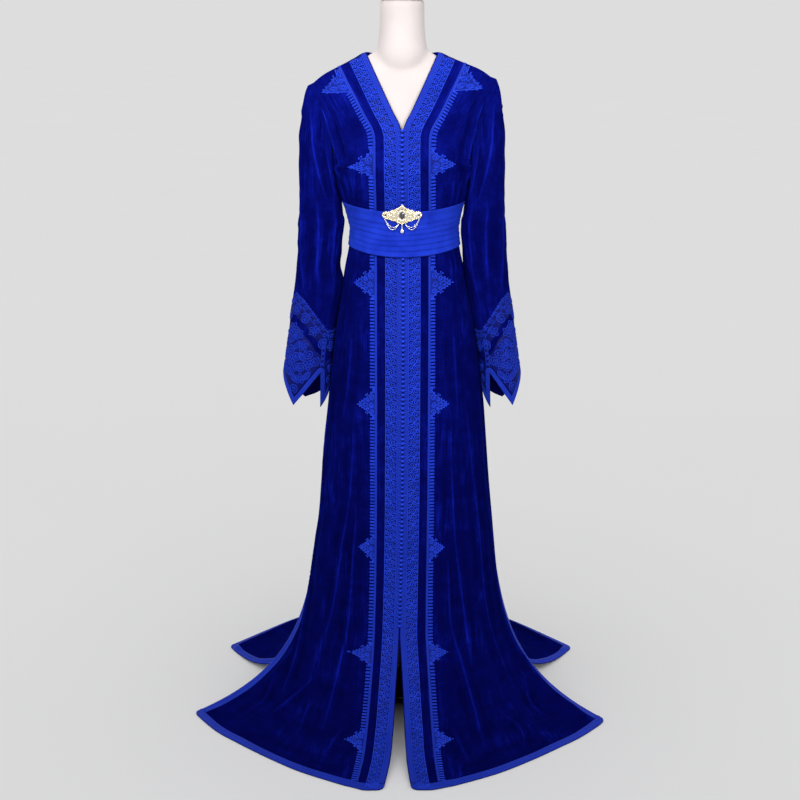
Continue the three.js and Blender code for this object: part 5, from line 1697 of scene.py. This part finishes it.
def cuff_motif(kind, x, z, turn):
    """One filled shape of the cuff: an open scroll, a flower or a leaf, as curves with radii."""
    if kind == 0:
        way = 1 if turn % 2 else -1
        return [(spiral((x, z), 12.5, 2.6, 70 * turn, way * 1.9), 1.45), (ring_curve((x, z), 1.5), 1.0)]
    if kind == 1:
        petals = [(ring_curve((x, z), 2.6), 0.9)]
        for k in range(5):
            angle = k * math.tau / 5 + 0.4 * turn
            root = (x + 3.8 * math.cos(angle), z + 3.8 * math.sin(angle))
            tip = (x + 12.5 * math.cos(angle), z + 12.5 * math.sin(angle))
            petals.append((leaf_curve(root, tip, 3.6, 10), 1.25))
        return petals
    lean = 8 if turn % 2 else -8
    return [(leaf_curve((x - lean, z - 10), (x + lean, z + 10), 5.6, 12), 1.4),
            (leaf_curve((x - lean * 0.6, z - 7), (x + lean * 0.6, z + 7), 2.0, 10), 1.1)]


def cuff_limits(side, inner):
    """Functions for the heights of the embroidery's top and of the braid's inner edge at distances round
    the cuff, then the whole distance and where the notch is."""
    columns, run, top, _ = cuff_tables(side)
    total = run[-1]
    return (lambda at: np.interp(np.asarray(at) % total, run, top),
            lambda at: np.interp(np.asarray(at) % total, run, inner), total,
            np.interp(NOTCH_COLUMN, columns, run))


def above_braid(cords, low):
    """Keep only the runs of each cord that lie above the cuff's braid."""
    kept = []
    for curve, radius in cords:
        inside = curve[:, 1] > low(curve[:, 0]) + 1.2
        cuts = np.flatnonzero(np.diff(inside.astype(int))) + 1
        for part, good in zip(np.split(curve, cuts), np.split(inside, cuts)):
            if good[0] and len(part) >= 3:
                kept.append((part, radius))
    return kept


def cuff_lace(side, inner):
    """The slanting lace band with picots, and the upright buttoned band over the notch."""
    edge, low, total, notch = cuff_limits(side, inner)
    fine = np.linspace(0, total, 160)
    cords = [(np.stack([fine, edge(fine) - drop], -1), radius)
             for drop, radius in ((0, 1.1), (17.5, 0.95))]
    for at in np.arange(0, total - 4, 5.4):
        z = edge(at)
        cords.append((np.array([(at - 1.2, z + 0.5), (at - 1.1, z + 3.8), (at + 1.1, z + 3.8),
                                (at + 1.2, z + 0.5)]), 0.8))
    turn = 1
    for at in np.arange(0, total - 9, total / 22):
        z = edge(at)
        cords.append((spiral((at, z - 9.2), 5.4, 1.8, 90 * turn, turn * 1.3), 0.9))
        cords.append((leaf_curve((at + 5.4, z - 3.5), (at + 7.6, z - 14.5), 1.7, 8), 0.8))
        turn = -turn
    rise = np.linspace(low(notch) + 2, edge(notch) - 18, 24)
    for across in (-3.9, 3.9):
        cords.append((np.stack([notch + across + 0 * rise, rise], -1), 0.9))
    for z in np.arange(rise[0] + 6, rise[-1] - 3, 12.5):
        cords.append((ring_curve((notch, z), 1.9), 1.3))
    return above_braid(cords, low)


def cuff_flowers(side, inner):
    """Flowers under the lace band, and scrolls, flowers and leaves that fill the points of the cuff."""
    edge, low, total, notch = cuff_limits(side, inner)
    cords = []
    for k, at in enumerate(np.arange(6, total - 6, total / 12)):
        cords += cuff_motif(k % 2, at, edge(at) - 32, k)
    for k in range(20):
        at = k * total / 20
        z = low(at) + (16 if k % 2 else 30)
        level = 0
        while z < edge(at) - 70:
            if abs(at - notch) > 15:
                cords += cuff_motif((k + 2 * level) % 3, at, z, k + level)
            z += 25
            level += 1
    return above_braid(cords, low)


def cuff_ground(name, side, high, low, mat, share_count=7):
    """Thin woven ground between two lines of heights round the cuff."""
    heights = [high + (low - high) * share for share in np.linspace(0, 1, share_count)]
    profile = [0.1] + [0.42] * (share_count - 2) + [0.1]
    return cuff_strip(name, side, heights, GROUND_PLACES, profile, mat)


def notch_ground(name, side, notch, low, high):
    """The ground of the upright band over the notch."""
    z = np.linspace(high, low, 30)
    place = cuff_place(side)
    lines = [place(np.stack([notch + across + 0 * z, z], -1)) for across in np.linspace(-5, 5, 5)]
    rows, columns = (np.array([line[k] for line in lines]).T for k in (0, 1))
    return strip_on(name, sleeves[side], rows, columns, [0.1, 0.5, 0.55, 0.5, 0.1], MID_GROUND, side)


def dress_cuff(side, hand):
    inner = cuff_braid(side, hand)
    _, run, top, _ = cuff_tables(side)
    edge, low, total, notch = cuff_limits(side, inner)
    finish_piece(cuff_ground(f"cuff_ground_{hand}", side, top - 0.8, top - 17.2, GROUND), "braid")
    scallop = 5 * np.abs(np.sin(run / total * math.pi * 10))
    grounds = [cuff_ground(f"cuff_flower_ground_{hand}", side, top - 18.6, top - 43 - scallop, GROUND),
               cuff_ground(f"cuff_field_{hand}", side, np.maximum(top - 68 + scallop, inner + 2.5),
                           inner + 1.2, GROUND, 9),
               notch_ground(f"cuff_notch_{hand}", side, notch, low(notch) + 1.2, edge(notch) - 18)]
    finish_piece(join_objects(grounds), "braid")
    parts = cords_on(sleeves[side], cuff_place(side), cuff_lace(side, inner), 0.7)
    finish_piece(new_object(f"cuff_scrolls_{hand}", *join_arrays(parts), CUFF_CORD), "braid",
                 f"cuff_embroidery_{hand}")
    parts = cords_on(sleeves[side], cuff_place(side), cuff_flowers(side, inner), 0.7)
    finish_piece(new_object(f"cuff_flowers_{hand}", *join_arrays(parts), CUFF_CORD), "braid")


for side, hand in ((-1, "right"), (1, "left")):
    dress_front(side, hand)
    dress_cuff(side, hand)
dress_middle()
dress_back()


# Sash

def sash_ring(height, out, angle):
    """A point of the sash: height between its edges, distance out from the dress, angle from the front."""
    s, k = np.sin(angle), -np.cos(angle)
    z = height + SASH["side_lift"] * s * s
    a = np.where(s < 0, side_width(z, -1), side_width(z, 1)) + SASH["clear"] + out
    front = ring(z, FRONT) + SASH["clear"]
    front = front + (SASH["front_clear"] - SASH["clear"]) * np.minimum(1, k * k * 1.3)
    b = np.where(k < 0, front, ring(z, BACK) + SASH["clear"]) + out
    return np.stack([a * s, b * k, z], -1)


def make_sash():
    around, pleats = 160, 7
    angle = circle(around)
    t = np.linspace(0, 1, 66)
    grid_t, grid_a = np.meshgrid(t, angle, indexing="ij")
    wander = cell_noise(np.cos(grid_a) * 2.2 + 5, np.sin(grid_a) * 2.2 + grid_t * 3, 3) * 0.035
    tuck = np.interp(grid_t + wander * np.sin(grid_t * math.pi), [0, 0.3, 1], [0, 1.0, pleats])
    phase, share = np.floor(tuck), tuck % 1
    uneven = 1 + 0.45 * cell_noise(phase * 3.1 + 7, np.cos(grid_a) * 2 + np.sin(grid_a) * 1.4, 8)
    fold = np.clip(share / 0.82, 0, 1) ** 0.8 * np.clip((1 - share) / 0.18, 0, 1) ** 0.5
    sides = 0.4 + 0.6 * np.abs(np.cos(grid_a))
    out = 1.1 + 2.1 * fold * uneven * sides * np.clip((tuck - 0.4) / 0.5, 0.12, 1)
    wrinkle = cell_noise(np.cos(grid_a) * 9 + grid_t * 6, np.sin(grid_a) * 9 + 3, 12) * 0.45
    out = np.clip(out + wrinkle * sides, 0.6, 4.6)
    out[0], out[-1] = 0.8, 0.8
    points = sash_ring(SASH["top"] - grid_t * (SASH["top"] - SASH["low"]), out, grid_a)
    normals = unit(np.cross(np.gradient(np.concatenate([points[:, -1:], points, points[:, :1]], 1),
                                        axis=1)[:, 1:-1],
                            -np.gradient(points, axis=0)))
    run = np.broadcast_to(angle[None] * 0.125, grid_t.shape)
    uv = np.stack([run, -grid_t * 0.1 * 1.4], -1)
    obj = shell("pleated_sash", points, normals, -0.9, 0, CHIFFON, wrap=True, outward=1, uv=uv)
    finish_piece(obj, "sash", "sash")


make_sash()


# Brooch

def on_brooch(x, z, lift=0.0):
    """A point on the front of the plate, x and z from its middle, lifted forward by millimetres."""
    y = BROOCH["y"] - BROOCH["lean"] * z + BROOCH["bow"] * x * x - BROOCH["thick"] - lift
    return np.stack(np.broadcast_arrays(x, y, BROOCH["z"] + np.asarray(z, float)), -1)


OUTLINE_TOP = [(-43, 1.5), (-40.5, 5.2), (-36, 7.6), (-31.5, 6.6), (-28, 6.2), (-25, 9.4), (-21, 11.6),
               (-17, 11), (-14, 13.6), (-10.5, 15.2), (-8, 14.6), (-6.4, 17.6), (-3.4, 19.4), (0, 23.6)]
OUTLINE_LOW = [(-43, -1.5), (-40, -6), (-36, -8.6), (-31, -9.4), (-27, -9.2), (-23, -12.4),
               (-18.5, -13.4), (-15, -13), (-11, -16.6), (-6.4, -18.2), (-3, -19), (0, -19.8)]


def plate_edge(table, x):
    pts = np.array(table)
    return np.interp(-np.abs(x), pts[:, 0], pts[:, 1])


def make_brooch():
    x = np.linspace(-43, 43, 59)
    top, low = plate_edge(OUTLINE_TOP, x), plate_edge(OUTLINE_LOW, x)
    t = np.linspace(0, 1, 13)
    z = top[None] + (low - top)[None] * t[:, None]
    xx = np.broadcast_to(x, z.shape)
    rim = np.minimum(t, 1 - t)[:, None] * 2
    relief = 0.9 * np.clip(rim * 3, 0, 1) + 0.5 * np.sin(xx * 0.62) * np.sin(z * 0.7)
    relief = relief * np.clip(rim * 6, 0, 1)
    points = on_brooch(xx, z, -1.6 + relief)
    normals = np.broadcast_to([0, -1.0, 0], points.shape)
    parts = [shell_arrays(points, normals, -1.2, 0, outward=1)[:2]]
    outline = [(a, b) for a, b in OUTLINE_TOP] + [(-a, b) for a, b in OUTLINE_TOP[-2::-1]]
    outline += [(-a, b) for a, b in OUTLINE_LOW] + [(a, b) for a, b in OUTLINE_LOW[-2::-1]]
    loop = np.array(outline + [outline[0]], float)
    edge_path = on_brooch(loop[:, 0] * 0.99, loop[:, 1] * 0.97, -0.4)

    def cord(curve, radius, lift=0.6):
        curve = np.asarray(curve, float)
        path = on_brooch(curve[:, 0], curve[:, 1], lift - 0.9)
        parts.append(tube_arrays(path, radius, 5, FORWARD, 0.9))

    for s in (-1, 1):
        cord(spiral((s * 17.5, 0.5), 7.4, 2.0, 90 - 90 * s, s * 1.4, 20), 0.8)
        cord(spiral((s * 27.5, -2), 4.6, 1.3, 90 + 90 * s, -s * 1.4, 16), 0.7)
        cord(leaf_curve((s * 8, 8), (s * 13, 14), 2.2, 10), 0.65)
        cord(leaf_curve((s * 7, -9), (s * 12, -14), 2.2, 10), 0.65)
        cord(leaf_curve((s * 22, 7), (s * 29, 4.4), 1.8, 10), 0.6)
        cord(ring_curve((s * 36, -0.6), 4.4, 12), 0.9)
    cord(ring_curve((0, -1), 8.4, 20, 1.22), 1.0, 0.8)
    cord(leaf_curve((0, 11), (0, 21), 2.8, 12), 0.8)
    finish_piece(new_object("brooch_casting", *join_arrays(parts), GOLD), "gold", "brooch_plate")
    bead = bead_piece()
    rim_beads = repeat("brooch_rim", [(edge_path, FORWARD)], bead, 2.3, GOLD, 1.0)
    finish_piece(rim_beads, "gold")
    make_stones()
    make_chains(bead)


def bead_piece(r=1.05):
    verts = [(0, 0, r), (0, 0, -r)]
    angles = np.arange(6) * math.pi / 3
    ring_points = [(r * math.cos(a), r * math.sin(a), 0) for a in angles]
    high = [(0.74 * r * math.cos(a), 0.74 * r * math.sin(a), 0.68 * r) for a in angles]
    low = [(x, y, -z) for x, y, z in high]
    verts += high + ring_points + low
    faces = []
    for k in range(6):
        m = (k + 1) % 6
        faces += [(0, 2 + k, 2 + m), (2 + k, 8 + k, 8 + m, 2 + m), (8 + k, 14 + k, 14 + m, 8 + m),
                  (1, 14 + m, 14 + k)]
    return piece_object("bead", verts, faces)


def gem_arrays(x, z, rx, rz, high, around=16, lift=0.0):
    """A cut stone: girdle, crown and table, seated on the plate."""
    rings = [(1.0, 0.0), (1.0, 0.25), (0.86, 0.62), (0.58, 0.95)]
    verts = []
    for k, rise in rings:
        a = circle(around)
        verts.append(on_brooch(x + rx * k * np.cos(a), z + rz * k * np.sin(a), lift + high * rise))
    verts.append(on_brooch(np.array([x]), np.array([z]), lift + high))
    verts.append(on_brooch(np.array([x]), np.array([z]), lift))
    verts = np.vstack(verts)
    faces = []
    for i in range(len(rings) - 1):
        for k in range(around):
            m = (k + 1) % around
            faces.append((i * around + k, i * around + m, (i + 1) * around + m, (i + 1) * around + k))
    last, top, low = (len(rings) - 1) * around, len(verts) - 2, len(verts) - 1
    for k in range(around):
        m = (k + 1) % around
        faces.append((last + k, last + m, top))
        faces.append((low, m, k))
    return verts, faces


def make_stones():
    parts = [gem_arrays(0, -1, 6.2, 8.0, 3.2, 20, -0.6)]
    parts += [gem_arrays(s * 36, -0.6, 2.7, 2.7, 1.6, 12, -0.5) for s in (-1, 1)]
    parts += [gem_arrays(x, z, 1.7, 1.5, 1.3, 10, -0.3) for x, z in ((-7.4, 11.4), (0, 12.6), (7.4, 11.4))]
    finish_piece(new_object("brooch_dark_stones", *join_arrays(parts), STONE, smooth=False), "stone",
                 "brooch_stone")
    spots = [(8.9 * math.cos(a), -1 + 10.9 * math.sin(a)) for a in circle(20)]
    spots += [(s * x, z) for s in (-1, 1) for x, z in
              ((17.5, 0.5), (27.5, -2), (22.5, -8.6), (13.2, 10.2), (13.4, -10.6), (30.8, 3.2),
               (31, -6.4), (23, 8.4))]
    spots += [(0, 15.6), (0, 19.4)]
    parts = [gem_arrays(x, z, 1.25, 1.25, 1.3, 8, -0.2) for x, z in spots]
    finish_piece(new_object("brooch_crystals", *join_arrays(parts), CRYSTAL, smooth=False), "stone")


def make_chains(bead):
    for side, hand in ((-1, "right"), (1, "left")):
        t = np.linspace(0, 1, 30)
        x = side * (37 + (8 - 37) * t)
        paths = []
        for sag in (17.0, 11.5):
            z = -(11.6 + (22 - 11.6) * t) + 1.5 - sag * np.sin(t * math.pi) ** 0.9
            paths.append((on_brooch(x, z, -1.5), FORWARD))
        chain = repeat(f"brooch_swag_{hand}", paths, bead, 2.6, WHITE_GOLD, 1.25)
        finish_piece(chain, "gold", f"brooch_chain_{hand}")
    parts = []
    top = -20.4
    shaft = on_brooch(np.zeros(6), top + np.array([1.5, -1, -3, -6, -8.5, -10.2]), -1.5)
    parts.append(tube_arrays(shaft, np.array([1.2, 1.6, 1.0, 1.1, 1.9, 1.2]), 10, FORWARD))
    pear = on_brooch(np.zeros(9),
                     top + np.array([-10, -11, -12.5, -14.5, -16.5, -18.2, -19.6, -20.6, -21.2]), -1.5)
    parts.append(tube_arrays(pear, np.array([0.8, 1.7, 2.9, 3.9, 4.2, 3.8, 2.7, 1.5, 0.7]), 12, FORWARD,
                             0.7))
    finish_piece(new_object("brooch_pear", *join_arrays(parts), WHITE_GOLD), "gold", "brooch_drop")


make_brooch()


# Dress form

FORM_VOXEL = 0.0068
TORSO_RINGS = [822, 850, 900, 960, 1010, 1060, 1100, 1140, 1190, 1235]
TORSO_YOKE = [0.95, 0.84, 0.674, 0.52, 0.36, 0.2, 0.12, 0.06, 0.03, 0.012]
NECK = [(1430, 40), (1440, 46), (1452, 52), (1462, 55), (1472, 56), (1480, 56), (1490, 54.4),
        (1500, 52.5), (1510, 51), (1522, 50), (1536, 49), (1550, 48.5), (1570, 48.3), (1591, 48.5)]


def torso_rings():
    around = circle(96)
    s, face = np.sin(around), np.where(np.cos(around) > 0, -1.0, 1.0)
    flat = np.abs(np.cos(around))
    rings = []
    for z in TORSO_RINGS:
        a = np.where(s < 0, side_width(z, -1), side_width(z, 1)) - 8
        b = np.where(face < 0, ring(z, FRONT), ring(z, BACK)) - 8
        rings.append(np.stack([a * s, face * b * flat, np.full(96, float(z))], -1))
    for v in TORSO_YOKE:
        wide = np.interp(v, ARMHOLE[:, 0], ARMHOLE[:, 2]) - (14 + (8 - 14) * v)
        close = 3.4 + (8 - 3.4) * min(1, v * 2)
        top = SHOULDER_TOP - SHOULDER_SLOPE * np.maximum(np.abs(s) * wide, 50) - close
        rise = math.sin(max(v, 0.06) * math.pi / 2) ** 0.8 * min(1, v / 0.06)
        b = np.where(face < 0, RINGS[0, FRONT], RINGS[0, BACK]) * rise
        rings.append(np.stack([s * wide, face * np.maximum(0, b - close * v * 1.4) * flat,
                               top + (UNDERARM_Z - top) * v], -1))
    return np.array(rings)


def make_form():
    rings = torso_rings()
    n, m = rings.shape[:2]
    verts = np.vstack([rings.reshape(-1, 3), rings[0].mean(0), rings[-1].mean(0)])
    body = new_object("form_body", verts, barrel_faces(n, m), JERSEY)
    neck = turned("form_neck", NECK, 64, JERSEY, (0, 3))
    body = join_objects([body, neck])
    remesh = body.modifiers.new("remesh", "REMESH")
    remesh.mode, remesh.voxel_size = "VOXEL", FORM_VOXEL
    smooth = body.modifiers.new("smooth", "SMOOTH")
    smooth.iterations, smooth.factor = 6, 0.5
    graph = bpy.context.evaluated_depsgraph_get()
    mesh = bpy.data.meshes.new_from_object(body.evaluated_get(graph))
    body.modifiers.clear()
    body.data = mesh
    mesh.materials.clear()
    mesh.materials.append(JERSEY)
    mesh.polygons.foreach_set("use_smooth", [True] * len(mesh.polygons))
    finish_piece(body, "linen", "form_torso")
    cap = [(1591.3, 47), (1592, 49), (1593.5, 49.7), (1602, 49.7), (1604.5, 48.6), (1606, 44), (1608, 36),
           (1612, 27), (1616, 18), (1620, 13), (1624, 11), (1627, 11.2), (1631, 13.6), (1635, 15.2),
           (1640, 15.4), (1644, 13.6), (1647, 9.6), (1648, 5)]
    finish_piece(turned("turned_neck_cap", cap, 64, WOOD, (0, 3)), "wood", "form_neck_cap")
    pole = [(18.3, 18), (24, 18), (26, 13), (30, 12), (400, 12), (402, 14), (440, 14), (442, 12),
            (815, 12), (821.7, 16)]
    finish_piece(turned("turned_pole", pole, 32, STEEL), "steel", "form_pole")
    base = [(0, 137), (0.8, 139), (2, 140), (9, 140), (11, 139), (13, 132), (14.5, 118), (16, 90),
            (17.3, 50), (18, 34)]
    finish_piece(turned("turned_base", base, 96, STEEL), "steel", "form_base")


make_form()


# Finish

def paint_nodes():
    looks = {"velvet": VELVET, "braid": BRAID, "lace": CORD, "sash": CHIFFON, "gold": GOLD,
             "stone": STONE, "linen": JERSEY, "wood": WOOD, "steel": STEEL}
    slots = {s["node"]: s["material_slot"] for s in frame["record"]["subparts"]}
    for name, obj in frame["nodes"].items():
        obj.data.materials.clear()
        obj.data.materials.append(looks[slots[name]])


def make_studio():
    """Plain paper floor running far back, an even pale sky and large soft lamps."""
    world = bpy.data.worlds.new("studio")
    bpy.context.scene.world = world
    world.use_nodes = True
    world.node_tree.nodes["Background"].inputs["Color"].default_value = (0.8, 0.8, 0.8, 1)
    world.node_tree.nodes["Background"].inputs["Strength"].default_value = 1.0
    wide, near, far = FLOOR_REACH
    floor = new_object("floor", [(-wide, near, 0), (wide, near, 0), (wide, far, 0), (-wide, far, 0)],
                       [(0, 1, 2, 3)], floor_material(), scale=1.0)
    lit = bpy.data.collections.new("lit_by_lamps")
    for obj in bpy.context.scene.objects:
        if obj.type == "MESH" and obj is not floor:
            lit.objects.link(obj)
    for name, place, size, power in LAMPS:
        data = bpy.data.lights.new(name, "AREA")
        data.shape, data.size, data.energy, data.spread = "DISK", size, power, math.radians(LAMP_SPREAD)
        lamp = bpy.data.objects.new(name, data)
        bpy.context.scene.collection.objects.link(lamp)
        lamp.location = place
        lamp.light_linking.receiver_collection = lit
        lamp.rotation_euler = (Vector(LAMP_TARGET) - Vector(place)).to_track_quat("-Z", "Y").to_euler()
    bpy.context.scene.view_settings.view_transform = "Standard"


def floor_material():
    """Matt paper that glows a little, so the floor stays one even tone with faint shadows, and a painted
    shadow: a soft dark ellipse under the garment.
    """
    made, tree, shader = material("studio_paper")
    place = object_place(tree)
    tone = noise(tree, place, 0.8, 2)
    paper = ramp(tree, tone, [(0.3, (0.835, 0.835, 0.835)), (0.7, (0.845, 0.845, 0.845))])
    painted_shadow_place = node(tree, "ShaderNodeMapping")
    painted_shadow_place.inputs["Location"].default_value = (0, -0.1, 0)
    painted_shadow_place.inputs["Scale"].default_value = (5.0, 3.1, 1)
    painted_shadow_place.vector_type = "POINT"
    tree.links.new(place, painted_shadow_place.inputs["Vector"])
    away = tree.nodes.new("ShaderNodeVectorMath")
    away.operation = "LENGTH"
    tree.links.new(painted_shadow_place.outputs[0], away.inputs[0])
    # Painted shadow: the paper's colour and glow fall to a fiftieth in the middle of the ellipse under the
    # skirt.
    light = ramp(tree, away.outputs["Value"], [(0.55, (0.02, 0.02, 0.02)), (1.0, (1, 1, 1))])
    tree.links.new(mix_color(tree, 1.0, paper, light, "MULTIPLY"), shader.inputs["Base Color"])
    tree.links.new(mix_color(tree, 1.0, (0.73, 0.73, 0.73), light, "MULTIPLY"),
                   shader.inputs["Emission Color"])
    settle(shader, Roughness=1.0, Specular_IOR_Level=0.0, Emission_Strength=0.07)
    return made


paint_nodes()
make_studio()
